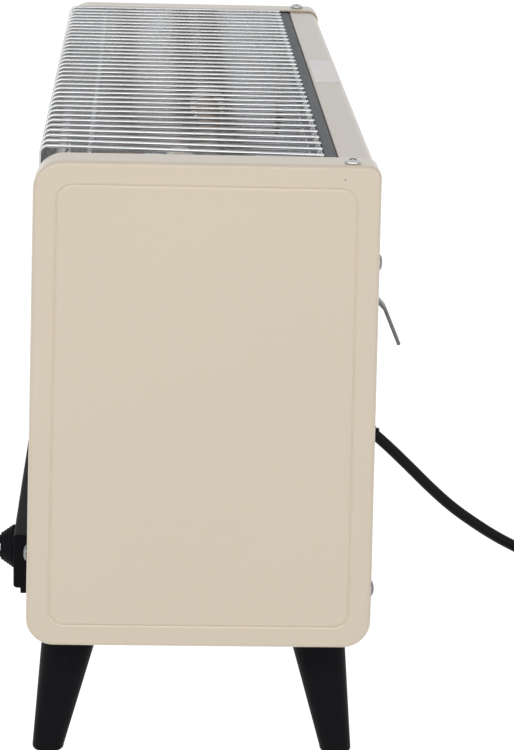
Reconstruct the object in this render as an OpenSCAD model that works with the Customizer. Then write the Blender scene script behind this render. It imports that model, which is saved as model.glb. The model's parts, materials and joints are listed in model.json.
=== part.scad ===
// Electric bar heater: a beige sheet-steel cabinet on four splayed legs, with a
// wire grille that wraps from its front over its top, three ceramic bar elements
// in front of a curved reflector, a black control strip with one rotary knob,
// two cord hooks on its back and a mains lead.
//
// Frame: X runs along the length, -Y is the front, +Z is up, Z = 0 is the floor.
// All sizes are in millimetres.

/* [Cabinet] */
// Length over the outer faces of both end panels
body_len = 542; // [480:1:640]
// Depth of the cabinet at its bottom edge
depth_bottom = 182; // [172:1:200]
// Depth of the cabinet at its top edge
depth_top = 174; // [166:1:182]
// Height of the cabinet without its legs
body_h = 260; // [245:1:290]
// Radius of the lower corners and the front top corner, seen from the end
corner_r = 15; // [10:0.5:16]
// Radius of the corner between the top and the back, seen from the end
rear_corner_r = 6.5; // [5:0.5:13]
// Thickness of the painted sheet steel
sheet_t = 1; // [0.8:0.1:1.3]
// Clearance between two sheets that lie on each other
sheet_gap = 0.3; // [0.2:0.05:0.4]

/* [End panels] */
// How far an end panel's flange wraps over the cabinet
flange_w = 21.5; // [19:0.5:26]
// Radius of the rolled edge between the panel's face and its flange
edge_r = 3; // [2:0.1:3.5]
// Distance from the panel's edge to the pressed line on its face
emboss_inset = 10.5; // [8:0.5:16]
// Width of the pressed line
emboss_w = 3; // [2:0.1:4]
// Depth of the pressed line
emboss_d = 0.8; // [0.4:0.1:1.2]
// Corner radius of the pressed line
emboss_r = 10; // [8:0.5:20]
// Distance of the top screw from the panel's face
top_screw_x = 8.5; // [8:0.5:15]
// Distance of the side screws from the panel's face
side_screw_x = 12; // [10:0.5:14]
// Distance of the top screw behind the middle of the cabinet
top_screw_y = 72.7; // [71:0.1:76]
// Heights of the rear screws above the cabinet's bottom edge
rear_screw_h = [30, 208];
// Height of the front screw above the cabinet's bottom edge
front_screw_h = 48; // [40:0.5:54]

/* [Screws] */
// Diameter of a panel screw's head
screw_head_d = 8.6; // [7.5:0.1:9.5]
// Height of a panel screw's head
screw_head_h = 2.2; // [1.6:0.1:3]
// Diameter of a panel screw's shank
screw_d = 3.5; // [3:0.1:4]
// Length of a panel screw's shank
screw_len = 8; // [6:0.5:10]
// Clearance round a screw in its hole
screw_gap = 0.2; // [0.15:0.05:0.3]

/* [Legs] */
// Height of the cabinet above the floor
leg_h = 70; // [50:1:100]
// Diameter of a leg at its top
leg_top_d = 31.5; // [24:0.5:32]
// Diameter of a leg at the floor
leg_foot_d = 17; // [12:0.5:20]
// How far a leg's foot stands outside its top, along X and along Y
leg_splay = 12.5; // [4:0.5:14]
// Distance of a foot's centre from the end panel's face
foot_from_end = 27; // [24:0.5:34]
// Distance of a foot's centre from the middle between the feet
foot_y = 78.2; // [70:0.2:80]
// How far the four legs stand in front of the cabinet's middle
legs_forward = 1.6; // [0:0.2:2]
// Diameter of a leg's screw
leg_screw_d = 5; // [4:0.2:6]
// Length of a leg's screw below the bottom plate
leg_screw_len = 22; // [16:1:30]

/* [Grille] */
// Number of wires
wire_count = 36; // [24:1:40]
// Distance from one wire to the next along the front
wire_pitch = 13.58; // [11:0.02:13.94]
// How far the last wire's rear end stands nearer to the right-hand end than its front
wire_fan = 12.4; // [0:0.2:14]
// Number of wires at the right-hand end that fan out
fan_count = 7; // [1:1:12]
// Diameter of a wire
wire_d = 2; // [1.6:0.1:2.4]
// How far the wires stand above the cabinet's top edge
wire_rise = 0.6; // [0:0.1:1.5]
// How far the wires stand behind the cabinet's front
wire_set_back = 1.3; // [0:0.1:1.5]
// Radius of a wire's bend at the front top corner, along its middle
wire_bend_r = 4; // [3:0.5:12]
// Diameter of the long rails that the wires are welded to
rail_d = 3; // [2.6:0.1:3.6]
// Distance of the rear rail behind the middle of the cabinet
rear_rail_y = 58.5; // [50:0.5:60]
// Distance of the top rail in front of the middle of the cabinet
top_rail_y = 59.5; // [40:0.5:66]
// Height of the front rail above the cabinet's bottom edge
front_rail_h = 165; // [120:1:190]
// How far a wire runs past the middle of the rear rail
wire_tail = 1.5; // [1:0.1:2]
// Gap between a wire and a rail, where the weld lies
weld_gap = 0.05; // [0.02:0.01:0.1]

/* [Top strip and front sill] */
// Distance from the middle of the cabinet to the top strip's front edge
strip_y = 67; // [66.5:0.5:69]
// Depth of the fold along the top strip's front edge
strip_fold = 12; // [8:0.5:16]
// Height of the front sill above the cabinet's bottom edge
sill_h = 62; // [60:0.5:70]
// Depth of the fold along the sill's top edge
sill_fold = 14; // [10:0.5:18]
// Width of the returns under the cabinet
return_w = 46; // [42:0.5:56]

/* [Reflector] */
// Thickness of the reflector sheet
reflector_t = 0.6; // [0.5:0.1:0.9]
// Distance from the cabinet's top to the reflector's upper bend
reflector_drop = 24; // [18:0.5:34]
// Distance of the reflector's lowest line in front of the middle
reflector_low_y = 76.5; // [70:0.5:78]
// Thickness of the plates that close the trough's ends
end_plate_t = 0.8; // [0.6:0.1:1]
// How far the end plates reach below the reflector
end_plate_skirt = 8; // [5:0.5:12]

/* [Elements] */
// Angles of the three bars below the level of the reflector's centre
element_angles = [6, 38, 70];
// Distance of a bar's middle from the reflector
element_standoff = 52; // [40:0.5:60]
// Diameter of a bar's ceramic rod
rod_d = 12; // [10:0.5:14]
// Thickness of the wound heating wire
winding_t = 1.6; // [1.2:0.1:2]
// Diameter of a bar's end insulator
insulator_d = 24; // [22:0.5:28]
// Thickness of an end insulator's collar
insulator_t = 11; // [9:0.5:14]
// Depth to which a rod sits in its insulator
rod_seat = 6; // [4:0.5:7]
// Diameter of a terminal stud
stud_d = 4; // [3.5:0.1:5]
// Outer diameter of the ceramic ring at the middle of a bar
ring_d = 26; // [22.5:0.5:30]
// Width of the ceramic ring
ring_w = 13; // [10:0.5:18]

/* [Control strip and knob] */
// Height of the strip's middle above the cabinet's bottom edge
control_h = 40; // [38:0.5:41]
// Height of the strip
control_w = 30; // [28:0.5:31]
// How far the strip stands in front of the cabinet
control_proud = 7.9; // [7:0.1:10]
// Distance of the knob's middle from the end panel's face
knob_from_end = 43; // [43:0.5:60]
// Diameter of the knob's skirt at the strip
knob_skirt_d = 23; // [20:0.5:28]
// Diameter of the knob's skirt at its top
knob_top_d = 14.5; // [13:0.5:16]
// Height of the knob's skirt
knob_skirt_h = 7.3; // [6:0.1:9]
// Height of the knob's grip above its skirt
knob_grip_h = 6.3; // [5:0.1:9]
// Width of the knob's grip
knob_grip_w = 5; // [4:0.5:7]
// Diameter of the switch's spindle
spindle_d = 6; // [5:0.5:6]
// Clearance round the spindle in its bearing
spindle_gap = 0.05; // [0.03:0.01:0.08]
// Width and height of the switch body
switch_w = 34; // [30:0.5:35]
// Depth of the switch body
switch_depth = 28; // [24:0.5:34]

/* [Vents] */
// Width of a slot in the rear wall
rear_slot_w = 18; // [12:1:21]
// Height of a slot in the rear wall
rear_slot_h = 12; // [6:1:16]
// Distance from one slot in the rear wall to the next
rear_slot_pitch = 26; // [24:1:27]

/* [Hooks] */
// Distance of a hook's middle from the end panel's face
hook_from_end = 120; // [60:1:160]
// Width of a hook's strip
hook_w = 12; // [10:0.5:16]
// Thickness of a hook's strip
hook_t = 2; // [1.5:0.1:2.5]
// Height of the hook's upper bend above the cabinet's bottom edge
hook_bend_h = 170; // [150:1:185]

/* [Tip-over switch] */
// Distance of the tip-over switch from the middle of the cabinet
tip_x = 45; // [36:1:60]
// Width between the cheeks of its frame
tip_w = 20; // [18:0.5:26]
// Height of its pivot above the bottom plate
tip_pivot_h = 30; // [28:0.5:36]
// Diameter of the pendulum's weight
tip_weight_d = 14; // [12:0.5:16]

/* [Mains lead] */
// Diameter of the mains lead
cord_d = 7; // [6.5:0.1:7]
// Height of the lead's exit above the cabinet's bottom edge
cord_exit_h = 45.5; // [43:0.5:47]
// Radius of the strain relief's droop
relief_bend_r = 38; // [34:1:46]
// Angle of the strain relief's droop
relief_angle = 36; // [30:1:40]
// Distance from one turn of the coil to the next
coil_pitch = 7.6; // [7.5:0.1:8]
// Number of turns in the coil
coil_turns = 6.25; // [4.25:1:6.25]
// Radius of the coil's outermost turn, along its middle
coil_out_r = 52; // [52:1:60]
// Thickness of the band that ties the coil
tie_t = 0.8; // [0.6:0.1:1]
// Diameter of the plug's body
plug_d = 36; // [34:0.5:39]
// Diameter of a plug pin
pin_d = 4.8; // [4:0.1:4.8]
// Length of a plug pin
pin_len = 19; // [17:0.5:19]
// Distance between the plug's pins
pin_pitch = 19; // [18:0.5:19]

/* [Hidden] */

$fn = 48;
arc_steps = 10;

// Cabinet
half_len = body_len / 2;
z0 = leg_h;
z1 = leg_h + body_h;
lean = atan((depth_bottom - depth_top) / 2 / body_h);
wrap_inset = sheet_t + sheet_gap;
wrap_in = wrap_inset + sheet_t;
wrap_margin = 4;
wrap_half = half_len - wrap_margin;
floor_z = z0 + wrap_in + sheet_gap + sheet_t;
sill_z = z0 + sill_h;
return_y = depth_bottom / 2 - return_w;
far = 400;

// Trough
rail_r = rail_d / 2;
wire_r = wire_d / 2;
wire_z = z1 + wire_rise - wire_r;
top_rail_z = wire_z - wire_r - rail_r - weld_gap;
channel_y = rear_rail_y + rail_r + sheet_gap;
channel_z = wire_z - wire_r - 0.4;
reflector_rear_y = channel_y - reflector_t;
trough_z = sill_z + sheet_gap + reflector_t;
bend_z = z1 - reflector_drop;
reach_y = reflector_rear_y + reflector_low_y;
reach_z = bend_z - trough_z;
reflector_r = (reach_y * reach_y + reach_z * reach_z) / (2 * reach_z);
centre_z = trough_z + reflector_r;
centre_y = -reflector_low_y;
bend_a = asin((bend_z - centre_z) / reflector_r);
plate_x = half_len - flange_w - 1.5 - end_plate_t;
bottom_rail_z = trough_z + 0.3 + rail_r;
front_rail_z = z0 + front_rail_h;
clip_places = [-32, 24];
clip_size = [1.9, 9, 5];

// The wires keep between the clips: a pitch too wide for them is made smaller
wire_room = plate_x - clip_size[0] - 0.4 - wire_r;
grille_pitch = min(wire_pitch, 2 * wire_room / (wire_count - 1));
grille_fan = max(0, min(wire_fan, 2 * wire_room - (wire_count - 1) * grille_pitch));

// Elements
winding_in = rod_d / 2 + 0.2;
winding_out = winding_in + winding_t;
ring_in = winding_out + 0.3;
neck_d = insulator_d - 12;
rod_end = plate_x - insulator_t + rod_seat - 0.2;
neck_end = plate_x + end_plate_t + 5;
stud_end = neck_end + 8;
nut_t = 3.2;
earth_d = 4;

// Controls
control_z = z0 + control_h;
control_front = half_depth(control_z) + control_proud;
knob_x = half_len - knob_from_end;
switch_front = half_depth(control_z) - wrap_in - 0.6;
bush_d = spindle_d + 6;
bush_len = 8;
nut_w = bush_d + 4;
spindle_tip = control_front + 0.3 + knob_skirt_h + knob_grip_h - 3;
spindle_root = switch_front - 20;
knob_gap = 0.3;
strip_screw_places = [for (share = [-1, -0.3, 0.45]) share * (half_len - 71)];

// Hooks: the knee and the tip lie out from the wall and below the bend
hook_x = half_len - hook_from_end;
hook_z = z0 + hook_bend_h;
hook_face = half_depth(hook_z) - wrap_inset;
hook_root = 30;
hook_knee = [14.6, -15.2];
hook_tip = [23.3, -35.6];
hook_screw_d = 4;
hook_head_d = 7.6;
hook_screw_z = hook_z + 14;

// Vents: rows of slots in the rear wall, and slots in the bottom plate
rear_slot_rows = [60, 222];
rear_slot_first = 2;
rear_slot_last = 7;
floor_slot = [4, 60];
floor_slot_places = [80:20:200];

// Blank label on the top strip
label_size = [77, 15, 0.2];
label_at = [-50, strip_y + 1.5, z1 - wrap_inset];

// Lead: the route's points lie on the path of the drooping lead
cord_r = cord_d / 2;
cord_exit_z = z0 + cord_exit_h;
cord_x = 22;
relief_neck = 1.5;
relief_waist_d = cord_d + 4.8;
relief_flange_d = cord_d + 11;
relief_y = half_depth(cord_exit_z - relief_flange_d / 2) - wrap_inset + relief_neck;
relief_tip = relief_point(relief_angle);
run_route = [
    [22, 122.5, 99.7], [21, 136, 86.5], [20, 150, 72.6], [18, 164, 59.8],
    [17, 178, 49.4], [16, 192, 40.2], [15, 206, 32.4], [14, 220, 25.3],
    [14, 234, 19], [14, 248, 14]
];
run_end = [14, 262, 12];
coil_x = run_end[0] + coil_out_r;
coil_y = run_end[1];
coil_top_z = run_end[2];
coil_low_z = coil_top_z - 7.5;
tail_start = [coil_x, coil_y + coil_out_r, coil_low_z];
tail_route = [
    [80, 313.5, 4.8], [94, 311.5, 6.8], [108, 308, 10.4], [122, 305, 14.2],
    [136, 303.3, 17]
];
plug_mouth = [150, 303, 18];
plug_neck = 24;
plug_len = 34;

// Leg tops stand inside the feet by the splay
leg_top_z = z0 + wrap_inset;
leg_x = half_len - foot_from_end - leg_splay;
function leg_y(sy, splay = 0) = sy * (foot_y - leg_splay + splay) - legs_forward;

// --- geometry functions ---

function half_depth(z) = depth_bottom / 2 - (depth_bottom - depth_top) / 2 * (z - z0) / body_h;

function arc(c, r, a0, a1, n = arc_steps) =
    [for (i = [0:n]) let (a = a0 + (a1 - a0) * i / n) [c[0] + r * cos(a), c[1] + r * sin(a)]];

// Centre of a corner arc whose middle lies d inside the cabinet's outline
function corner(d, h) = [(depth_bottom / 2 * cos(lean) - d - h * sin(lean)) / cos(lean), z0 + h];
function low_corner(d) = corner(d, d);
function high_corner(d) = corner(d, body_h - d);
function flip(p) = [-p[0], p[1]];

// The cabinet's outline, moved inwards by inset and rounded by r, but by rear_r
// between the top and the back
function outline(inset, r, rear_r) = concat(
    arc(low_corner(inset + r), r, -90, lean),
    arc(high_corner(inset + rear_r), rear_r, lean, 90),
    arc(flip(high_corner(inset + r)), r, 90, 180 - lean),
    arc(flip(low_corner(inset + r)), r, 180 - lean, 270));

function skin(inset) = outline(inset, corner_r - inset, rear_corner_r - inset);
function press_line(inset) = let (r = emboss_r + emboss_inset - inset) outline(inset, r, r);
function at_x(x, outline_points) = [for (p = outline_points) [x, p[0], p[1]]];

function element_at(i) = [
    centre_y + (reflector_r - element_standoff) * cos(element_angles[i]),
    centre_z - (reflector_r - element_standoff) * sin(element_angles[i])];

function unit(v) = v / norm(v);

// A strip of thickness t along a folded line, on the line's left side
function left_of(v) = [-v[1], v[0]] / norm(v);
function fold_normal(p, i) =
    i == 0 ? left_of(p[1] - p[0]) :
    i == len(p) - 1 ? left_of(p[i] - p[i - 1]) :
    let (a = left_of(p[i] - p[i - 1]), b = left_of(p[i + 1] - p[i])) (a + b) / (1 + a * b);
function strip_outline(p, t) =
    concat(p, [for (i = [len(p) - 1:-1:0]) p[i] + t * fold_normal(p, i)]);

// Direction of a path at its point i; the ends may be given
function heading(p, i, first, last) =
    i == 0 ? unit(first) :
    i == len(p) - 1 ? unit(last) :
    unit(unit(p[i + 1] - p[i]) + unit(p[i] - p[i - 1]));

function ring_at(c, t, r, sides, side_ref) =
    let (u = unit(cross(side_ref, t)), v = cross(t, u))
    [for (k = [0:sides - 1]) c + r * (cos(360 * k / sides) * u + sin(360 * k / sides) * v)];

function relief_point(a) = [
    cord_x, relief_y + relief_bend_r * sin(a), cord_exit_z - relief_bend_r * (1 - cos(a))];

// The coil: the upper layer spirals in, the lower layer spirals out again
coil_mid = coil_turns / 2;
function coil_radius(t) = coil_out_r - coil_pitch * (t < coil_mid ? t : coil_turns - t);
function coil_climb(t) = let (s = min(1, max(0, (t - coil_mid + 0.25) * 2))) s * s * (3 - 2 * s);
function coil_point(t) = let (a = 180 - 360 * t) [
    coil_x + coil_radius(t) * cos(a),
    coil_y + coil_radius(t) * sin(a),
    coil_top_z + (coil_low_z - coil_top_z) * coil_climb(t)];

coil_rings = 24;
coil_count = round(coil_turns * coil_rings);
coil_path = [for (i = [0:coil_count]) coil_point(i / coil_rings)];

// Least distance between the coil's turns, less the lead's diameter
coil_gap = min([for (i = [0:coil_count]) for (j = [i + coil_rings / 2:coil_count])
    norm(coil_path[i] - coil_path[j])]) - cord_d;
echo(coil_gap = coil_gap);

// --- shared shapes ---

module along_x(x0, x1) {
    translate([x0, 0, 0]) rotate([90, 0, 90]) linear_extrude(x1 - x0) children();
}

module rod_x(x0, x1, y, z, d) {
    translate([x0, y, z]) rotate([0, 90, 0]) cylinder(d = d, h = x1 - x0);
}

// Children stand on the cabinet's rear or front wall, +Z pointing out of it
module on_rear(x, z, inset = 0) {
    translate([x, half_depth(z) - inset / cos(lean), z]) rotate([lean - 90, 0, 0]) children();
}

module on_front(x, z, inset = 0) {
    translate([x, inset / cos(lean) - half_depth(z), z]) rotate([90 - lean, 0, 0]) children();
}

// A closed skin through rings of equal length, with flat ends
module loft(rings) {
    n = len(rings[0]);
    m = len(rings);
    polyhedron(
        points = [for (r = rings) for (p = r) p],
        faces = concat(
            [[for (k = [0:n - 1]) k]],
            [[for (k = [n - 1:-1:0]) (m - 1) * n + k]],
            [for (i = [0:m - 2]) for (k = [0:n - 1])
                [i * n + k, (i + 1) * n + k, (i + 1) * n + (k + 1) % n]],
            [for (i = [0:m - 2]) for (k = [0:n - 1])
                [i * n + k, (i + 1) * n + (k + 1) % n, i * n + (k + 1) % n]]));
}

// A round tube along a path
module tube(path, d, sides, side_ref, first, last) {
    loft([for (i = [0:len(path) - 1])
        ring_at(path[i], heading(path, i, first, last), d / 2, sides, side_ref)]);
}

module lead(path, d = 3) {
    tube(path, d, 6, [0.3, 0.9, 0.2], path[1] - path[0], path[len(path) - 1] - path[len(path) - 2]);
}

// A pan-head screw: its head stands on Z = 0, its shank points down
module pan_screw(head_d, head_h, d, length) {
    difference() {
        union() {
            rotate_extrude() polygon(concat(
                [[0, 0], [head_d / 2 - 0.3, 0]],
                [for (a = [0:15:75]) [head_d / 2 * cos(a), head_h * (0.25 + 0.75 * sin(a))]],
                [[0, head_h]]));
            translate([0, 0, -length]) cylinder(d = d, h = length + 0.1, $fn = 24);
        }
        for (a = [0, 90]) rotate([0, 0, a])
            translate([-head_d * 0.28, -0.5, head_h * 0.45]) cube([head_d * 0.56, 1, head_h]);
    }
}

module panel_screw() {
    pan_screw(screw_head_d, screw_head_h, screw_d, screw_len);
}

module screw_hole(d = screw_d) {
    translate([0, 0, -screw_len]) cylinder(d = d + 2 * screw_gap, h = 2 * screw_len, $fn = 32);
}

// Every place where a screw joins an end panel to the cabinet
module at_top_screws() {
    for (s = [-1, 1]) translate([s * (half_len - top_screw_x), top_screw_y, z1]) children();
}

module at_rear_screws() {
    for (s = [-1, 1]) for (h = rear_screw_h) on_rear(s * (half_len - side_screw_x), z0 + h) children();
}

module at_front_screws() {
    for (s = [-1, 1]) on_front(s * (half_len - side_screw_x), z0 + front_screw_h) children();
}

module at_legs() {
    for (sx = [-1, 1]) for (sy = [-1, 1]) translate([sx * leg_x, leg_y(sy), 0]) children();
}

module at_plate_screws() {
    for (sx = [-1, 0, 1]) for (sy = [-1, 1])
        translate([sx * (leg_x - 60), sy * (return_y + 12), z0 + wrap_inset]) children();
}

// --- cabinet ---

module end_panel() {
    t = sheet_t;
    face = half_len;
    press = [[emboss_inset + emboss_w, 0], [emboss_inset + emboss_w * 0.7, emboss_d],
             [emboss_inset + emboss_w * 0.3, emboss_d], [emboss_inset, 0]];
    outer = concat(
        [for (p = press) at_x(face - p[1], press_line(p[0]))],
        [for (a = [0:18:90])
            at_x(face - edge_r * (1 - cos(a)), skin(edge_r * (1 - sin(a))))],
        [at_x(face - flange_w, skin(0))]);
    inner = concat(
        [at_x(face - flange_w, skin(t))],
        [for (a = [90:-18:0])
            at_x(face - edge_r + (edge_r - t) * cos(a), skin(edge_r - (edge_r - t) * sin(a)))],
        [for (i = [3:-1:0]) at_x(face - t - press[i][1], press_line(press[i][0]))]);
    difference() {
        loft([for (r = concat(outer, inner)) [for (k = [len(r) - 1:-1:0]) r[k]]]);
        at_top_screws() screw_hole();
        at_rear_screws() screw_hole();
        at_front_screws() screw_hole();
    }
}

module right_end_panel() {
    color("#d6cab9") end_panel();
}

module left_end_panel() {
    color("#d6cab9") mirror([1, 0, 0]) end_panel();
}

// The wrapper's sheet between its two skins
module wrap_section() {
    difference() {
        polygon(skin(wrap_inset));
        polygon(skin(wrap_in));
    }
}

module rear_slots() {
    for (s = [-1, 1]) for (i = [rear_slot_first:rear_slot_last]) for (h = rear_slot_rows)
        on_rear(s * i * rear_slot_pitch, z0 + h, wrap_inset)
            cube([rear_slot_w, rear_slot_h, 4 * sheet_t], center = true);
}

module rear_shell() {
    color("#cbc2b4") difference() {
        along_x(-wrap_half, wrap_half) union() {
            intersection() {
                wrap_section();
                polygon([[strip_y, far], [far, far], [far, 0], [return_y, 0],
                         [return_y, z0 + corner_r], [strip_y, z0 + corner_r]]);
            }
            translate([strip_y, z1 - wrap_inset - strip_fold]) square([sheet_t, strip_fold]);
        }
        at_top_screws() screw_hole();
        at_rear_screws() screw_hole();
        at_legs() translate([0, 0, z0]) screw_hole(leg_screw_d);
        at_plate_screws() screw_hole(3);
        for (s = [-1, 1]) on_rear(s * hook_x, hook_screw_z) screw_hole(hook_screw_d);
        translate([cord_x, half_depth(cord_exit_z), cord_exit_z]) rotate([90, 0, 0])
            cylinder(d = relief_waist_d + 0.6, h = 20, center = true);
        rear_slots();
    }
}

module front_sill() {
    color("#cbc2b4") difference() {
        along_x(-wrap_half, wrap_half) union() {
            intersection() {
                wrap_section();
                polygon([[-far, sill_z], [-far, 0], [-return_y, 0], [-return_y, z0 + corner_r],
                         [-strip_y, z0 + corner_r], [-strip_y, sill_z]]);
            }
            translate([wrap_inset + 0.02 - half_depth(sill_z), sill_z - sheet_t])
                square([sill_fold, sheet_t]);
        }
        at_front_screws() screw_hole();
        at_legs() translate([0, 0, z0]) screw_hole(leg_screw_d);
        at_plate_screws() screw_hole(3);
        at_strip_screws() screw_hole(3);
        translate([knob_x, -half_depth(control_z), control_z]) rotate([90, 0, 0])
            cylinder(d = bush_d + 0.6, h = 20, center = true);
    }
}

module bottom_plate() {
    plate_y = depth_bottom / 2 - corner_r - 1;
    color("#8d8f90") difference() {
        translate([-(wrap_half - 4), -plate_y, floor_z - sheet_t])
            cube([2 * (wrap_half - 4), 2 * plate_y, sheet_t]);
        for (s = [-1, 1]) for (x = floor_slot_places)
            translate([s * x - floor_slot[0] / 2, -floor_slot[1] / 2, floor_z - 2 * sheet_t])
                cube([floor_slot[0], floor_slot[1], 3 * sheet_t]);
        at_legs() translate([0, 0, z0]) screw_hole(leg_screw_d);
        at_plate_screws() screw_hole(3);
        at_earth_screw() screw_hole(earth_d);
    }
}

module blank_label() {
    color("#eeeae6") translate(label_at) cube(label_size);
}

// --- trough ---

module grille_channel() {
    fold = 14;
    wall = channel_z - bend_z - sheet_gap;
    half = half_len - flange_w - sheet_gap;
    color("#646669") along_x(-half, half) union() {
        translate([channel_y, channel_z - sheet_t]) square([strip_y - channel_y, sheet_t]);
        translate([channel_y, channel_z - wall]) square([sheet_t, wall]);
        translate([strip_y - sheet_t, channel_z - fold]) square([sheet_t, fold]);
    }
}

// An arc from the front sill to a bend, then straight up against the channel
module reflector_section() {
    t = reflector_t;
    steps = 28;
    c = [centre_y, centre_z];
    front_y = wrap_in + 2 * sheet_gap - half_depth(trough_z);
    top = channel_z - 6;
    polygon(concat(
        [[front_y, trough_z - t]],
        arc(c, reflector_r + t, -90, bend_a, steps),
        [[reflector_rear_y + t, bend_z + t], [reflector_rear_y + t, top], [reflector_rear_y, top]],
        arc(c, reflector_r, bend_a, -90, steps),
        [[front_y, trough_z]]));
}

module reflector() {
    color("#dcdee0") along_x(-plate_x, plate_x) reflector_section();
}

module end_plate() {
    difference() {
        along_x(plate_x, plate_x + end_plate_t) intersection() {
            polygon(skin(wrap_inset));
            union() {
                translate([centre_y, centre_z]) circle(r = reflector_r + end_plate_skirt, $fn = 120);
                translate([-far, centre_z]) square([2 * far, far]);
                translate([-far, sill_z]) square([far + centre_y, far]);
            }
            translate([-far, sill_z + sheet_gap])
                square([far + reflector_rear_y - 0.3, far]);
        }
        for (i = [0:2]) rod_x(plate_x - 1, plate_x + 2, element_at(i)[0], element_at(i)[1], neck_d + 0.5);
        at_rails() rod_x(plate_x - 1, plate_x + 2, 0, 0, rail_d + 0.4);
    }
}

module right_end_plate() {
    color("#c6c8ca") end_plate();
}

module left_end_plate() {
    color("#c6c8ca") mirror([1, 0, 0]) end_plate();
}

// --- grille ---

function front_rail_y(z) =
    (wire_set_back + wire_d + weld_gap + rail_r) / cos(lean) - half_depth(z);

module at_rails() {
    translate([0, rear_rail_y, top_rail_z]) children();
    translate([0, -top_rail_y, top_rail_z]) children();
    translate([0, front_rail_y(front_rail_z), front_rail_z]) children();
    translate([0, front_rail_y(bottom_rail_z), bottom_rail_z]) children();
}

// One wire, turned about its front run until its rear end stands aside by fan;
// a small bead at either end of its bend joins the three lengths
module grille_wire(fan) {
    bead_d = wire_d + 0.1;
    gap = 0.15;
    bend_z = wire_z - wire_bend_r;
    bend_y = -corner(wire_set_back + wire_r + wire_bend_r, bend_z - z0)[0];
    start_y = bend_y - wire_bend_r * cos(lean);
    start_z = bend_z + wire_bend_r * sin(lean);
    end_z = sill_z + 1.2;
    reach = rear_rail_y + wire_tail - start_y;
    turn = atan(fan / reach);
    $fn = 24;
    translate([0, start_y, 0]) rotate([0, 0, -turn]) {
        translate([0, bend_y - start_y + gap, wire_z]) rotate([-90, 0, 0])
            cylinder(d = wire_d, h = reach / cos(turn) + start_y - bend_y - gap);
        translate([0, bend_y - start_y, wire_z]) sphere(d = bead_d);
        translate([0, bend_y - start_y, bend_z]) rotate([90, 0, 90]) rotate([0, 0, 90])
            rotate_extrude(angle = 90 - lean) translate([wire_bend_r, 0]) circle(d = wire_d);
        translate([0, 0, start_z]) sphere(d = bead_d);
        translate([0, 0, start_z]) rotate([180 - lean, 0, 0]) translate([0, 0, gap])
            cylinder(d = wire_d, h = (start_z - end_z) / cos(lean) - gap);
    }
}

module grille_wires() {
    color("#d9dbdd") for (i = [0:wire_count - 1])
        translate([(i - (wire_count - 1) / 2) * grille_pitch - grille_fan / 2, 0, 0])
            grille_wire(grille_fan * max(0, i - wire_count + 1 + fan_count) / fan_count);
}

module grille_rails() {
    rail_half = plate_x + end_plate_t + 1.2;
    color("#c9cbcd") at_rails() rod_x(-rail_half, rail_half, 0, 0, rail_d, $fn = 24);
}

// Small straps on the end plates, beside the outermost wires
module grille_clips() {
    clip_t = 0.8;
    clip_z = z1 - wrap_inset - clip_size[2] + 0.7;
    color("#dfe1e3") for (s = [0, 1]) for (y = clip_places) mirror([s, 0, 0])
        translate([plate_x - clip_size[0], y, clip_z]) difference() {
            cube(clip_size);
            translate([-clip_t, -1, -clip_t]) cube([clip_size[0], clip_size[1] + 2, clip_size[2]]);
        }
}

// --- elements ---

module element_rod(i) {
    p = element_at(i);
    color("#efece4") rod_x(-rod_end, rod_end, p[0], p[1], rod_d);
}

module element_winding(i) {
    p = element_at(i);
    w = plate_x - insulator_t - 2;
    color("#8c8a88") difference() {
        rod_x(-w, w, p[0], p[1], 2 * winding_out);
        rod_x(-w - 1, w + 1, p[0], p[1], 2 * winding_in);
    }
}

module upper_element_rod() { element_rod(0); }
module middle_element_rod() { element_rod(1); }
module lower_element_rod() { element_rod(2); }
module upper_element_winding() { element_winding(0); }
module middle_element_winding() { element_winding(1); }
module lower_element_winding() { element_winding(2); }

module at_element_ends() {
    for (i = [0:2]) for (s = [0, 1]) mirror([s, 0, 0])
        translate([0, element_at(i)[0], element_at(i)[1]]) children();
}

module element_insulators() {
    color("#f3f0ea") at_element_ends() difference() {
        union() {
            rod_x(plate_x - insulator_t, plate_x, 0, 0, insulator_d);
            rod_x(plate_x - 1, neck_end, 0, 0, neck_d);
        }
        rod_x(plate_x - insulator_t - 1, plate_x - insulator_t + rod_seat, 0, 0, rod_d + 0.4);
        rod_x(plate_x - insulator_t, neck_end + 1, 0, 0, stud_d + 0.3);
    }
}

module element_studs() {
    color("#b9a36a") at_element_ends() rod_x(plate_x - insulator_t + rod_seat, stud_end, 0, 0, stud_d);
}

module element_nuts() {
    color("#b9a36a") at_element_ends() difference() {
        translate([neck_end, 0, 0]) rotate([0, 90, 0]) cylinder(d = stud_d + 4.5, h = nut_t, $fn = 6);
        rod_x(neck_end - 1, neck_end + nut_t + 1, 0, 0, stud_d + 0.2);
    }
}

module element_rings() {
    color("#f6f4ef") for (i = [0:2]) difference() {
        rod_x(-ring_w / 2, ring_w / 2, element_at(i)[0], element_at(i)[1], ring_d);
        rod_x(-ring_w, ring_w, element_at(i)[0], element_at(i)[1], 2 * ring_in);
    }
}

// A strip from the reflector to each ring, along the reflector's radius
module element_ring_arms() {
    arm_w = 8;
    color("#a9abad") for (a = element_angles) translate([0, centre_y, centre_z]) rotate([-a, 0, 0]) {
        near = reflector_r - element_standoff + ring_d / 2 + 0.2;
        translate([-arm_w / 2, near, -0.6]) cube([arm_w, reflector_r - 0.7 - near, 1.2]);
        translate([-arm_w / 2, reflector_r - 1.5, -6]) cube([arm_w, 1, 12]);
    }
}

// One bar joins the three bars' left terminals
module neutral_bar() {
    x = -(neck_end + nut_t + 0.2);
    bar_w = 10;
    color("#b9a36a") difference() {
        for (i = [0:1]) hull() for (k = [i, i + 1])
            translate([x - 1, element_at(k)[0], element_at(k)[1]]) rotate([0, 90, 0])
                cylinder(d = bar_w, h = 1, $fn = 32);
        for (i = [0:2]) rod_x(x - 2, x + 2, element_at(i)[0], element_at(i)[1], stud_d + 0.3);
    }
}

// --- controls ---

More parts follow.
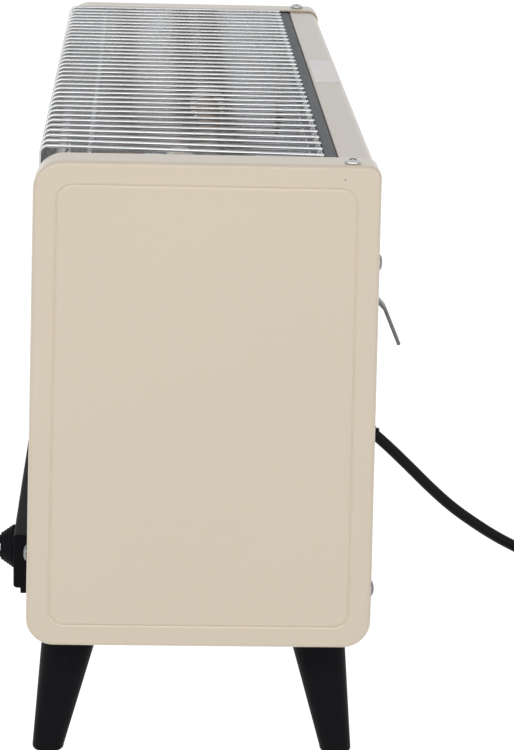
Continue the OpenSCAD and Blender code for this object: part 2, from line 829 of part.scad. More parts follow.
function strip_back(z) = wrap_inset / cos(lean) - half_depth(z);

module control_strip_section() {
    r = 2;
    top = control_z + control_w / 2 - 1;
    low = control_z - control_w / 2 - 1;
    lip = 3;
    lip_y = 3.7 - control_front;
    polygon(concat(
        [[strip_back(top), top]],
        arc([r - control_front, top - r], r, 90, 180, 6),
        arc([r - control_front, low + r], r, 180, 270, 6),
        [[lip_y, low], [lip_y, low - lip], [strip_back(low - lip), low - lip]]));
}

module at_strip_screws() {
    for (x = strip_screw_places) on_front(x, control_z, wrap_in) rotate([180, 0, 0]) children();
}

module control_strip() {
    half = half_len - flange_w - 0.5;
    color("#1c1d1f") difference() {
        along_x(-half, half) control_strip_section();
        translate([knob_x, -control_front - 1, control_z]) rotate([-90, 0, 0])
            cylinder(d = spindle_d + 1.4, h = 20);
        translate([knob_x, -control_front + 3, control_z]) rotate([-90, 0, 0])
            cylinder(d = nut_w * 1.2 + 1, h = 20);
        at_strip_screws() translate([0, 0, -6.2]) cylinder(d = 3.3, h = 7, $fn = 32);
    }
}

module strip_screws() {
    color("#b8babc") at_strip_screws() pan_screw(6, 1.8, 3, 5.6);
}

module rotary_switch() {
    color("#e9e5da") difference() {
        union() {
            translate([knob_x - switch_w / 2, -switch_front, control_z - switch_w / 2])
                cube([switch_w, switch_depth, switch_w]);
            translate([knob_x, -switch_front + 0.5, control_z]) rotate([90, 0, 0])
                cylinder(d = bush_d, h = bush_len);
        }
        translate([knob_x, 0.5 - spindle_root, control_z]) rotate([90, 0, 0])
            cylinder(d = spindle_d + 2 * spindle_gap, h = 60);
    }
}

module switch_nut() {
    y = strip_back(control_z) - 0.15;
    color("#b8babc") translate([knob_x, y, control_z]) rotate([90, 0, 0]) difference() {
        cylinder(d = nut_w * 1.155, h = 2.6, $fn = 6);
        translate([0, 0, -1]) cylinder(d = bush_d + 0.2, h = 5);
    }
}

module switch_tabs() {
    color("#c9a94f") for (x = [-12, -4, 4, 12]) for (z = [-9, 9])
        translate([knob_x + x - 2.4, switch_depth - switch_front, control_z + z - 0.4])
            cube([4.8, 7, 0.8]);
}

module switch_spindle() {
    color("#b8babc") translate([knob_x, -spindle_root, control_z]) rotate([90, 0, 0])
        cylinder(d = spindle_d, h = spindle_tip - spindle_root);
}

module control_knob() {
    y = -(control_front + knob_gap);
    grip_len = knob_top_d - 2.6;
    color("#161718") translate([knob_x, y, control_z]) rotate([90, 0, 0]) difference() {
        union() {
            cylinder(d = knob_skirt_d, h = 1.2);
            translate([0, 0, 1.2]) cylinder(d1 = knob_skirt_d, d2 = knob_top_d, h = knob_skirt_h - 1.2);
            translate([-knob_grip_w / 2, -grip_len / 2, 1])
                cube([knob_grip_w, grip_len, knob_skirt_h + knob_grip_h - 1]);
        }
        translate([0, 0, -1])
            cylinder(d = spindle_d + 0.1, h = knob_skirt_h + knob_grip_h - 3 + 1.2);
    }
}

// --- inner parts ---

// A snap-disc cut-out behind the reflector
module thermal_cutout() {
    color("#9a9c9e") translate([-60, centre_y, centre_z]) rotate([-45, 0, 0])
        translate([0, reflector_r + reflector_t + 0.3, 0]) rotate([-90, 0, 0]) {
            cylinder(d = 18, h = 9);
            cylinder(d = 25, h = 0.8);
            for (s = [-1, 1]) translate([s * 5 - 0.4, -3.1, 8.5]) cube([0.8, 6.2, 8]);
        }
}

block = [36, 20, 15];
block_at = [cord_x - block[0] / 2, 28, floor_z + 0.1];
block_pitch = 11;

module at_block_poles() {
    for (i = [-1:1]) translate([cord_x + i * block_pitch, block_at[1] + block[1] / 2, block_at[2]])
        children();
}

module terminal_block() {
    color("#ece9df") difference() {
        translate(block_at) cube(block);
        at_block_poles() {
            translate([0, 0, 6]) rotate([90, 0, 0]) cylinder(d = 4.4, h = block[1] + 2, center = true);
            for (s = [-1, 1]) translate([0, s * 5, 6]) cylinder(d = 3.4, h = 12);
        }
    }
}

module terminal_screws() {
    color("#c9a94f") at_block_poles() for (s = [-1, 1]) translate([0, s * 5, 8.4]) difference() {
        cylinder(d = 3, h = 5, $fn = 32);
        translate([-2, -0.4, 4.2]) cube([4, 0.8, 2]);
    }
}

module at_earth_screw() {
    translate([cord_x - 44, 38, floor_z]) children();
}

module earth_screw() {
    color("#c9a94f") at_earth_screw() pan_screw(7, 2, earth_d, sheet_t + 2);
}

module tip_switch_frame() {
    cheek_t = 1.2;
    y = 24;
    h = tip_pivot_h + 16;
    color("#b4b6b8") translate([-tip_x, 0, floor_z]) difference() {
        union() {
            translate([-tip_w / 2 - cheek_t, -y / 2, 0]) cube([tip_w + 2 * cheek_t, y, cheek_t]);
            for (x = [-tip_w / 2 - cheek_t, tip_w / 2]) translate([x, -y / 2, 0]) cube([cheek_t, y, h]);
        }
        rod_x(-tip_w, tip_w, 0, tip_pivot_h, 3);
    }
}

module tip_switch_pin() {
    w = tip_w / 2 + 2.2;
    color("#d0d2d4") translate([-tip_x, 0, floor_z]) {
        rod_x(-w, w, 0, tip_pivot_h, 2.9);
        rod_x(-w, -w + 0.8, 0, tip_pivot_h, 5);
        rod_x(w - 0.8, w, 0, tip_pivot_h, 5);
    }
}

module tip_switch_pendulum() {
    hub_w = tip_w - 6;
    drop = tip_pivot_h - 5 - tip_weight_d / 2;
    color("#8a7a4a") translate([-tip_x, 0, floor_z]) difference() {
        union() {
            rod_x(-hub_w / 2, hub_w / 2, 0, tip_pivot_h, 8);
            translate([-2, -2, tip_pivot_h - drop]) cube([4, 4, drop]);
            rod_x(-hub_w / 2, hub_w / 2, 0, tip_pivot_h - drop, tip_weight_d);
        }
        rod_x(-tip_w, tip_w, 0, tip_pivot_h, 3);
    }
}

module tip_microswitch() {
    color("#2a2b2d") translate([-tip_x, 0, floor_z + tip_pivot_h]) {
        translate([0.1 - tip_w / 2, -10, 6]) cube([tip_w - 0.2, 20, 9]);
        translate([-1.5, -1, 4.4]) cube([3, 2, 2]);
    }
}

module internal_leads() {
    sx = knob_x;
    tab_y = switch_depth - switch_front + 7.3;
    stud_x = neck_end + nut_t + 2;
    side_x = half_len - 8;
    pole_gap = 0.8;
    pole_y = block_at[1] - pole_gap;
    pole_z = floor_z + 6.1;
    u = element_at(0);
    m = element_at(1);
    l = element_at(2);
    // The mains lead's inner end, from its bush to the terminal block
    color("#1b1c1e") lead([
        [cord_x, relief_y - 12, cord_exit_z], [cord_x, relief_y - 20, cord_exit_z - 3],
        [cord_x, relief_y - 26, cord_exit_z - 14], [cord_x, relief_y - 31, floor_z + 12],
        [cord_x, block_at[1] + block[1] + pole_gap, floor_z + 7]], 4);
    // Line and return between the block, the switch and the neutral bar
    color("#7a4a2a") lead([
        [cord_x + block_pitch, pole_y, pole_z], [cord_x + 20, 10, floor_z + 8],
        [90, -20, floor_z + 8], [170, -30, floor_z + 12],
        [sx - 12, tab_y + 9, control_z - 14], [sx - 12, tab_y, control_z - 9]]);
    color("#2f5f9a") lead([
        [cord_x - block_pitch, pole_y, pole_z], [cord_x - 20, 5, floor_z + 8],
        [-30, -20, floor_z + 10], [-160, -30, floor_z + 12], [-225, -20, floor_z + 18],
        [-side_x, 0, z0 + 50], [-side_x, m[0] - 8, m[1] - 14],
        [-(neck_end + nut_t + 2.9), m[0] - 2, m[1] - 4]]);
    // Switched leads to the three right-hand terminals
    color("#a0a2a4") {
        lead([
            [sx + 12, tab_y, control_z + 9], [sx + 16, tab_y + 14, control_z + 11],
            [side_x, l[0] + 8, z0 + 80], [side_x, l[0] + 2, l[1] - 10],
            [stud_x, l[0], l[1] - 3.7]]);
        lead([
            [sx + 4, tab_y, control_z + 9], [sx + 9, tab_y + 24, control_z + 12],
            [side_x, m[0] + 2, z0 + 80], [side_x, m[0], m[1] - 12],
            [stud_x, m[0], m[1] - 3.7]]);
        lead([
            [sx - 4, tab_y, control_z + 9], [sx + 2, tab_y + 34, control_z + 10],
            [side_x, m[0] + 34, z0 + 80], [side_x, u[0] + 14, u[1] - 30],
            [stud_x, u[0], u[1] - 3.7]]);
    }
}

// --- legs, hooks and fasteners ---

module leg(sx, sy) {
    color("#222325") difference() {
        hull() {
            translate([sx * leg_x, leg_y(sy), leg_top_z - 2]) cylinder(d = leg_top_d, h = 2, $fn = 40);
            translate([sx * (leg_x + leg_splay), leg_y(sy, leg_splay), 0])
                cylinder(d = leg_foot_d, h = 1.5, $fn = 40);
        }
        translate([sx * leg_x, leg_y(sy), leg_top_z - leg_screw_len])
            cylinder(d = leg_screw_d + 2 * screw_gap, h = leg_screw_len + 1, $fn = 32);
    }
}

module front_right_leg() { leg(1, -1); }
module front_left_leg() { leg(-1, -1); }
module rear_right_leg() { leg(1, 1); }
module rear_left_leg() { leg(-1, 1); }

module leg_screws() {
    length = leg_screw_len - 2 + floor_z - leg_top_z;
    color("#b8babc") at_legs() translate([0, 0, floor_z]) pan_screw(10, 3, leg_screw_d, length);
}

module end_panel_screws() {
    color("#cfd1d3") {
        at_top_screws() panel_screw();
        at_rear_screws() panel_screw();
        at_front_screws() panel_screw();
    }
}

module bottom_plate_screws() {
    color("#b8babc") at_plate_screws() rotate([180, 0, 0]) pan_screw(5.6, 1.2, 3, 5);
}

module hook() {
    bend = [hook_face, hook_z];
    root = bend + hook_root * [-sin(lean), cos(lean)];
    color("#8f9294") difference() {
        along_x(hook_x - hook_w / 2, hook_x + hook_w / 2)
            polygon(strip_outline([root, bend, bend + hook_knee, bend + hook_tip], hook_t));
        on_rear(hook_x, hook_screw_z) screw_hole(hook_screw_d);
    }
}

module right_hook() { hook(); }
module left_hook() { mirror([1, 0, 0]) hook(); }

module hook_screws() {
    color("#cfd1d3") for (s = [-1, 1]) on_rear(s * hook_x, hook_screw_z, wrap_inset)
        translate([0, 0, hook_t]) pan_screw(hook_head_d, hook_t, hook_screw_d, screw_len);
}

// --- mains lead ---

module strain_relief() {
    sides = 20;
    wall = relief_y - relief_neck;
    d0 = cord_d + 6;
    d1 = cord_d + 2.2;
    angles = [for (i = [0:8]) relief_angle * i / 8];
    color("#17181a") {
        loft([for (a = angles) ring_at(relief_point(a), [0, cos(a), -sin(a)],
            (d0 + (d1 - d0) * a / relief_angle) / 2, sides, [1, 0, 0])]);
        translate([cord_x, wall, cord_exit_z]) rotate([-90, 0, 0])
            cylinder(d = relief_flange_d, h = relief_neck);
        translate([cord_x, wall - sheet_t - 2, cord_exit_z]) rotate([-90, 0, 0])
            cylinder(d = relief_waist_d, h = sheet_t + 2.5);
        translate([cord_x, wall - sheet_t - 5, cord_exit_z]) rotate([-90, 0, 0])
            cylinder(d = cord_d + 9, h = 4.4);
    }
}

module cord_run() {
    a = relief_angle;
    color("#141517") tube(concat([relief_tip], run_route, [run_end]), cord_d, 8, [1, 0, 0],
        [0, cos(a), -sin(a)], [0, 1, 0]);
}

module cord_coil() {
    color("#141517") tube(coil_path, cord_d, 6, [0, 0, 1], [0, 1, 0], [1, 0, 0]);
}

module cord_tail() {
    color("#141517") tube(concat([tail_start], tail_route, [plug_mouth]), cord_d, 8, [0, 0, 1],
        [1, 0, 0], [1, 0, 0]);
}

// A band round the coil's bundle, on the coil's side away from the cabinet
module cord_tie() {
    g = 0.2;
    w = 9;
    turn = 0.125;
    bore_r = coil_out_r - coil_mid * coil_pitch - cord_r;
    in_r = sqrt(bore_r * bore_r - w * w / 4) - g;
    out_r = coil_out_r - turn * coil_pitch + cord_r + g;
    low = coil_low_z - cord_r - g;
    high = coil_top_z + cord_r + g;
    color("#2b2c2e") translate([coil_x, coil_y, 0]) rotate([0, 0, 180 - 360 * turn]) difference() {
        translate([in_r - tie_t, -w / 2, low - tie_t])
            cube([out_r - in_r + 2 * tie_t, w, high - low + 2 * tie_t]);
        translate([in_r, -w, low]) cube([out_r - in_r, 2 * w, high - low]);
    }
}

module at_plug() {
    translate(plug_mouth) rotate([0, 90, 0]) children();
}

module plug_body() {
    color("#17181a") at_plug() difference() {
        union() {
            cylinder(d1 = cord_d + 4, d2 = cord_d + 9, h = plug_neck);
            translate([0, 0, plug_neck - 6]) cylinder(d1 = cord_d + 10, d2 = plug_d - 3, h = 12);
            translate([0, 0, plug_neck + 6]) cylinder(d = plug_d, h = plug_len - 6);
        }
        for (s = [-1, 1]) {
            translate([0, s * pin_pitch / 2, plug_neck + plug_len - 12]) cylinder(d = pin_d - 0.8, h = 20);
            translate([s * (plug_d / 2 - 1.4) - 1.5, -3.5, plug_neck + plug_len - 14]) cube([3, 7, 20]);
        }
    }
}

module plug_pins() {
    color("#c8cacc") at_plug() for (s = [-1, 1]) translate([0, s * pin_pitch / 2, plug_neck + plug_len]) {
        translate([0, 0, -11.8]) cylinder(d = pin_d - 1, h = 12);
        cylinder(d = pin_d, h = pin_len - 1);
        translate([0, 0, pin_len - 1]) cylinder(d1 = pin_d, d2 = pin_d - 1.6, h = 1);
    }
}

right_end_panel();
left_end_panel();
rear_shell();
front_sill();
bottom_plate();
grille_channel();
reflector();
right_end_plate();
left_end_plate();
grille_wires();
grille_rails();
grille_clips();
upper_element_rod();
middle_element_rod();
lower_element_rod();
upper_element_winding();
middle_element_winding();
lower_element_winding();
element_insulators();
element_studs();
element_nuts();
element_rings();
element_ring_arms();
neutral_bar();
control_strip();
strip_screws();
rotary_switch();
switch_nut();
switch_tabs();
switch_spindle();
control_knob();
thermal_cutout();
terminal_block();
terminal_screws();
earth_screw();
tip_switch_frame();
tip_switch_pin();
tip_switch_pendulum();
tip_microswitch();
internal_leads();
front_right_leg();
front_left_leg();
rear_right_leg();
rear_left_leg();
leg_screws();
end_panel_screws();
bottom_plate_screws();
right_hook();
left_hook();
hook_screws();
blank_label();
strain_relief();
cord_run();
cord_coil();
cord_tail();
cord_tie();
plug_body();
plug_pins();
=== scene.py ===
# Electric bar heater: its finishes, wires, windings and mains lead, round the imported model.
# The dictionaries hold millimetres in the heater's own frame, and radians, unless a note
# says otherwise; Blender works in metres.
import json
import math

import bmesh
import bpy
from mathutils import Matrix, Vector


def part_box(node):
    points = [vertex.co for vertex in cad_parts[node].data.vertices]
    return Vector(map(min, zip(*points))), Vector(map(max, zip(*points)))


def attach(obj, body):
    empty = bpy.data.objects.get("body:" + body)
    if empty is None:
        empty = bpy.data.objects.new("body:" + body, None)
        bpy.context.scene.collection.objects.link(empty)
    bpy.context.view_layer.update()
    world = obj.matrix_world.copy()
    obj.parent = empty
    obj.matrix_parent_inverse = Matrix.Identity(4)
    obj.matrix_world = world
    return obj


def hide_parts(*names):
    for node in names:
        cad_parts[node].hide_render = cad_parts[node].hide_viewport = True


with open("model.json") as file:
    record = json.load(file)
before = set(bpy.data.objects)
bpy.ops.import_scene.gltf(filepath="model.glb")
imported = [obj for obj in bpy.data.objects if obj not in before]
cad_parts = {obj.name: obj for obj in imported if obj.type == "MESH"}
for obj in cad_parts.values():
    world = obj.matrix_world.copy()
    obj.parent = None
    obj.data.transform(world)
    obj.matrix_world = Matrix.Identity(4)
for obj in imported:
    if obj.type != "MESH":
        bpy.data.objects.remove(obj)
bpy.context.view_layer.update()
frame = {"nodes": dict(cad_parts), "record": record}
mm = 0.001
fullTurn = 2 * math.pi

cabinet = {
    "length": 542, "depthLow": 182, "depthTop": 174, "low": 70, "high": 330,
    "corner": 15, "rearCorner": 6.5, "sheet": 1, "gap": 0.3,
}
cabinet["lean"] = math.atan(
    (cabinet["depthLow"] - cabinet["depthTop"]) / 2 / (cabinet["high"] - cabinet["low"]))


def halfDepth(z):  # both walls lean inwards, so the cabinet is less deep at its top
    share =(z - cabinet["low"]) / (cabinet["high"] - cabinet["low"])
    return (cabinet["depthLow"] + (cabinet["depthTop"] - cabinet["depthLow"]) * share) / 2


def boxOf(node):  # lowest and highest corner of a CAD node, in millimetres
    low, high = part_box(node)
    return low / mm, high / mm


def metres(*point):
    return Vector(point) * mm


# Modelling, as by hand

def deselect():
    bpy.ops.object.select_all(action="DESELECT")


def selectOnly(*pieces):
    deselect()
    for piece in pieces:
        piece.select_set(True)
    bpy.context.view_layer.objects.active = pieces[-1]


def openEdit(piece):
    selectOnly(piece)
    bpy.ops.object.mode_set(mode="EDIT")
    pickAll()


def closeEdit():
    bpy.ops.object.mode_set(mode="OBJECT")


def pickAll():
    bpy.ops.mesh.select_mode(type="VERT")
    bpy.ops.mesh.select_all(action="SELECT")


def pick(piece, kind, test):  # selects the faces, edges or vertices that pass the test
    bpy.ops.mesh.select_all(action="DESELECT")
    bpy.ops.mesh.select_mode(type=kind)
    mesh = bmesh.from_edit_mesh(piece.data)
    mesh.normal_update()
    parts = {"FACE": mesh.faces, "EDGE": mesh.edges, "VERT": mesh.verts}[kind]
    for part in parts:
        if test(part):
            part.select_set(True)
    bmesh.update_edit_mesh(piece.data)


def pickFaces(piece, test):  # the test sees a face's middle, in millimetres, and its normal
    pick(piece, "FACE", lambda face: test(face.calc_center_median() / mm, face.normal))


def pickEdges(piece, test):  # both ends of an edge have to pass the test, in millimetres
    pick(piece, "EDGE", lambda edge: all(test(v.co / mm, edge) for v in edge.verts))


def roundEdges(piece, test, width, steps):
    pickEdges(piece, test)
    bpy.ops.mesh.bevel(offset=width * mm, segments=steps, affect="EDGES", clamp_overlap=False)


def span(edge, axis):  # how far an edge runs along X, Y or Z, in millimetres
    first, second = edge.verts
    return abs(first.co[axis] - second.co[axis]) / mm


def settled(name):  # names the new primitive and moves its place into its mesh
    piece = bpy.context.object
    piece.name = name
    bpy.ops.object.transform_apply(location=True, rotation=True, scale=True)
    return piece


def block(name, low, high):
    deselect()
    middle = (Vector(low) + Vector(high)) / 2
    size = Vector(high) - Vector(low)
    bpy.ops.mesh.primitive_cube_add(size=1, location=middle * mm, scale=size * mm)
    return settled(name)


def circle(radius, sides, centre, upright=True, fill="NOTHING"):  # upright ones face along Y
    deselect()
    bpy.ops.mesh.primitive_circle_add(
        vertices=sides, radius=radius * mm, fill_type=fill, location=metres(*centre),
        rotation=(math.pi / 2 if upright else 0, 0, 0))


def drawLine(name, points):  # edges drawn point by point from one vertex
    deselect()
    bpy.ops.mesh.primitive_plane_add(size=mm, location=metres(*points[0]))
    piece = settled(name)
    openEdit(piece)
    bpy.ops.mesh.merge(type="CENTER")
    for start, end in zip(points, points[1:]):
        extrude(Vector(end) - Vector(start))
    closeEdit()
    return piece


def extrude(move):
    bpy.ops.mesh.extrude_region_move(TRANSFORM_OT_translate={"value": Vector(move) * mm})


def swing(angle, steps, centre):  # sweeps the selection about X, by the right-hand rule
    bpy.ops.mesh.spin(steps=steps, angle=-angle, axis=(1, 0, 0), center=Vector(centre) * mm)


def tidyFaces():
    pickAll()
    bpy.ops.mesh.remove_doubles(threshold=0.002 * mm)
    bpy.ops.mesh.normals_make_consistent(inside=False)


def modify(piece, kind, **settings):
    selectOnly(piece)
    bpy.ops.object.modifier_add(type=kind)
    modifier = piece.modifiers[-1]
    for key, value in settings.items():
        setattr(modifier, key, value)
    bpy.ops.object.modifier_apply(modifier=modifier.name)


def softEdges(piece, width, segments=2, angle=40):
    modify(piece, "BEVEL", width=width * mm, segments=segments, limit_method="ANGLE",
           angle_limit=math.radians(angle), use_clamp_overlap=True)


def cutAway(piece, cutter):
    modify(piece, "BOOLEAN", operation="DIFFERENCE", object=cutter, solver="EXACT")
    bpy.data.objects.remove(cutter)


def joined(name, pieces):
    selectOnly(*pieces)
    if len(pieces) > 1:
        bpy.ops.object.join()
    return settled(name)


def copyOf(piece, move=(0, 0, 0), turn=None):  # a copy with its own mesh
    selectOnly(piece)
    bpy.ops.object.duplicate(linked=False)
    copy = bpy.context.object
    copy.matrix_world = Matrix.Translation(Vector(move) * mm) @ (turn or Matrix()).to_4x4()
    return settled(piece.name)


def lathe(name, profile, place, axis, steps=32):  # profile: (along the axis, radius)
    along = Vector(axis).normalized()
    across = along.orthogonal().normalized()
    place = Vector(place)
    piece = drawLine(name, [place + a * along + r * across for a, r in profile])
    openEdit(piece)
    bpy.ops.mesh.spin(steps=steps, angle=fullTurn, center=place * mm, axis=along,
                      use_auto_merge=True)
    tidyFaces()
    closeEdit()
    return piece


def rounded(length, radius, edge, steps=4):  # profile of a rod or disc with round edges
    arc = [(edge * math.sin(a), radius - edge + edge * math.cos(a))
           for a in [math.pi / 2 * i / steps for i in range(steps + 1)]]
    back = [(edge - a, r) for a, r in reversed(arc)]
    front = [(length - edge + a, r) for a, r in arc]
    return [(0, 0)] + back + front + [(length, 0)]


def loopOf(name, corners, radii, steps, place):  # a closed line with round corners, filled
    points = [Vector(place(*corner)) for corner in corners]
    piece = drawLine(name, points)
    openEdit(piece)
    bpy.ops.mesh.edge_face_add()
    for point, radius in zip(points, radii):
        pick(piece, "VERT", lambda vertex: (vertex.co / mm - point).length < 0.01)
        bpy.ops.mesh.bevel(offset=radius * mm, affect="VERTICES", segments=steps)
    closeEdit()
    return piece


def foldedSheet(name, line, x0, x1, thickness, bends, segments=6):
    piece = drawLine(name, [(x0, y, z) for y, z in line])
    openEdit(piece)
    extrude((x1 - x0, 0, 0))
    for index, radius in bends.items():
        before, here, after = [Vector(line[index + k]) for k in (-1, 0, 1)]
        angle = (here - before).angle(after - here)
        roundEdges(piece, lambda co, edge: (Vector(co[1:]) - here).length < 0.01,
                   radius * math.tan(angle / 2), segments)
    tidyFaces()
    closeEdit()
    modify(piece, "SOLIDIFY", thickness=thickness * mm, offset=0, use_even_offset=True)
    return piece


def handIn(piece, finish, nodes=(), body="root", smooth=32):
    selectOnly(piece)
    bpy.ops.object.transform_apply(location=True, rotation=True, scale=True)
    bpy.ops.object.shade_smooth_by_angle(angle=math.radians(smooth))
    modify(piece, "WEIGHTED_NORMAL", keep_sharp=True, weight=80)
    piece.data.materials.clear()
    piece.data.materials.append(finish)
    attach(piece, body)
    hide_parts(*nodes)
    return piece


# Shader maths

class Sock:  # an output socket that takes part in Python expressions
    def __init__(self, tree, out=None):
        self.tree = tree
        self.out = out

    def node(self, kind, settings=None, sockets=None, give=0):
        made = self.tree.nodes.new(kind)
        for key, value in (settings or {}).items():
            setattr(made, key, value)
        for key, value in (sockets or {}).items():
            self.plug(made.inputs[key], value)
        return Sock(self.tree, made.outputs[give])

    def plug(self, target, value):
        if isinstance(value, Sock):
            self.tree.links.new(value.out, target)
        else:
            target.default_value = value

    def maths(self, operation, first, second=0.0):
        return self.node("ShaderNodeMath", {"operation": operation}, {0: first, 1: second})

    def __add__(self, other):
        return self.maths("ADD", self, other)

    def __radd__(self, other):
        return self.maths("ADD", other, self)

    def __sub__(self, other):
        return self.maths("SUBTRACT", self, other)

    def __rsub__(self, other):
        return self.maths("SUBTRACT", other, self)

    def __mul__(self, other):
        return self.maths("MULTIPLY", self, other)

    def __rmul__(self, other):
        return self.maths("MULTIPLY", other, self)

    def above(self, edge, width):  # 0 below the edge, 1 above it, soft over the width
        return self.node("ShaderNodeMapRange", {"interpolation_type": "SMOOTHSTEP"},
                         {0: self, 1: edge - width / 2, 2: edge + width / 2})

    def colours(self, first, second):  # the first colour at 0, the second at 1
        return self.node("ShaderNodeMix", {"data_type": "RGBA"}, {0: self, 6: first, 7: second}, 2)


def shade(value, share):  # a colour made lighter or darker
    return tuple(channel * share for channel in value[:3]) + (1,)


def colourOf(slot, tint=(1, 1, 1)):  # the slot's colour in the record, tinted
    found = [m for m in frame["record"]["materials"] if m["slot"] == slot][0]
    return tuple(channel * share for channel, share in zip(found["base_color"], tint)) + (1,)


def newFinish(name, constants):
    material = bpy.data.materials.new(name)
    material.use_nodes = True
    shader = material.node_tree.nodes["Principled BSDF"]
    for key, value in constants.items():
        shader.inputs[key].default_value = value
    return material, shader, Sock(material.node_tree)


def mapped(root, scale=(1, 1, 1)):
    coords = root.node("ShaderNodeTexCoord", give="Object")
    return root.node("ShaderNodeMapping", {}, {"Vector": coords, "Scale": scale})


def noise(root, scale, detail=3, stretch=(1, 1, 1)):
    return root.node("ShaderNodeTexNoise", {},
                     {"Vector": mapped(root, stretch), "Scale": scale, "Detail": detail}, "Fac")


def dress(root, shader, colour, rough, height, strength, depth):
    root.plug(shader.inputs["Base Color"], colour)
    root.plug(shader.inputs["Roughness"], rough)
    bump = root.node("ShaderNodeBump", {},
                     {"Height": height, "Strength": strength, "Distance": depth * mm})
    root.plug(shader.inputs["Normal"], bump)


# The wrapper's tint is partly the sheet's own darker shade and partly painted shade, darkening its
# top strip
enamel = {"slot": "beige_enamel", "panels": (1, 1, 0.955), "wrapper": (0.82, 0.82, 0.81),
          "rough": 0.26, "coat": 0.45, "peel": 850, "peelDepth": 0.05,
          "chipAt": (271, 68.6, 323), "chipRadius": 0.5, "chipColour": (0.3, 0.25, 0.19, 1)}


def enamelFinish(name, tint):
    material, shader, root = newFinish(name, {
        "Coat Roughness": 0.08, "Specular IOR Level": 0.35})
    colour = colourOf(enamel["slot"], tint)
    cloud = noise(root, 4, 2)
    tone = cloud.above(0.5, 0.5).colours(shade(colour, 0.985), shade(colour, 1.015))
    coords = root.node("ShaderNodeTexCoord", give="Object")
    reach = root.node("ShaderNodeVectorMath", {"operation": "DISTANCE"},
                      {0: coords, 1: metres(*enamel["chipAt"])}, "Value")
    chip = 1 - reach.above(enamel["chipRadius"] * mm, 0.3 * mm)
    root.plug(shader.inputs["Coat Weight"], enamel["coat"] - 0.1 * noise(root, 12, 2))
    dress(root, shader, chip.colours(tone, enamel["chipColour"]),
          enamel["rough"] + 0.06 * noise(root, 30, 4),
          noise(root, enamel["peel"], 1) - 2 * chip, 0.12, enamel["peelDepth"])
    return material


def metalFinish(name, slot, rough, grain, stretch=(1, 1, 1), wave=0.0, waveScale=14, dull=0.12,
                tone=1.0):
    material, shader, root = newFinish(name, {"Metallic": 1.0})
    colour = shade(colourOf(slot), tone)
    stain = noise(root, 22, 4).above(0.55, 0.4)
    fine = noise(root, grain, 3, stretch)
    height = 0.05 * fine
    if wave:
        height = height + wave * noise(root, waveScale, 1)
    dress(root, shader, stain.colours(colour, shade(colour, 1 - dull)),
          rough * (0.75 + 0.6 * fine), height, 0.35, 0.6 if wave else 0.05)
    return material


def mouldedFinish(name, slot, rough, grain=1200, depth=0.03, scuff=0.35, gloss=0.2,
                  tint=(1, 1, 1)):
    material, shader, root = newFinish(name, {"Specular IOR Level": gloss})
    colour = colourOf(slot, tint)
    dust = noise(root, 60, 5).above(0.62, 0.25)
    dress(root, shader, (dust * scuff).colours(colour, shade(colour, 1.9)),
          rough + 0.14 * noise(root, 35, 4), noise(root, grain, 2), 0.2, depth)
    return material


def ceramicFinish():
    material, shader, root = newFinish("Ceramic", {"Specular IOR Level": 0.35})
    colour = colourOf("ceramic")
    speck = noise(root, 420, 2).above(0.69, 0.05)
    soot = noise(root, 35, 4).above(0.62, 0.25)
    body = (0.4 * soot).colours(colour, (0.55, 0.5, 0.42, 1))
    dress(root, shader, (0.6 * speck).colours(body, (0.4, 0.36, 0.3, 1)),
          0.55 + 0.2 * noise(root, 90, 3), noise(root, 700, 3), 0.25, 0.08)
    return material


def windingFinish():
    material, shader, root = newFinish("HeatingWire", {"Metallic": 0.85})
    colour = colourOf("heating_wire")
    heat = noise(root, 16, 3, (0.4, 1, 1)).above(0.5, 0.4)
    dress(root, shader, heat.colours(colour, (0.3, 0.21, 0.16, 1)),
          0.38 + 0.25 * noise(root, 300, 2), noise(root, 1500, 2), 0.2, 0.03)
    return material


def labelFinish(tint):
    material, shader, root = newFinish("PaleLabel", {"Coat Roughness": 0.1})
    colour = colourOf("pale_label", tint)
    root.plug(shader.inputs["Coat Weight"], 0.2 + 0.1 * noise(root, 20, 2))
    dress(root, shader, noise(root, 25, 2).colours(colour, shade(colour, 0.93)),
          0.32 + 0.1 * noise(root, 60, 3), noise(root, 90, 3), 0.15, 0.06)
    return material


def sheathFinish():
    material, shader, root = newFinish("LeadSheath", {"Specular IOR Level": 0.3})
    colour = colourOf("lead_sheath")
    weave = root.node("ShaderNodeTexWave", {"wave_type": "BANDS", "bands_direction": "DIAGONAL"},
                      {"Vector": mapped(root), "Scale": 420.0, "Distortion": 1.0}, "Fac")
    dress(root, shader, weave.colours(shade(colour, 0.8), shade(colour, 1.2)),
          0.7 + 0.1 * weave, weave, 0.3, 0.1)
    return material


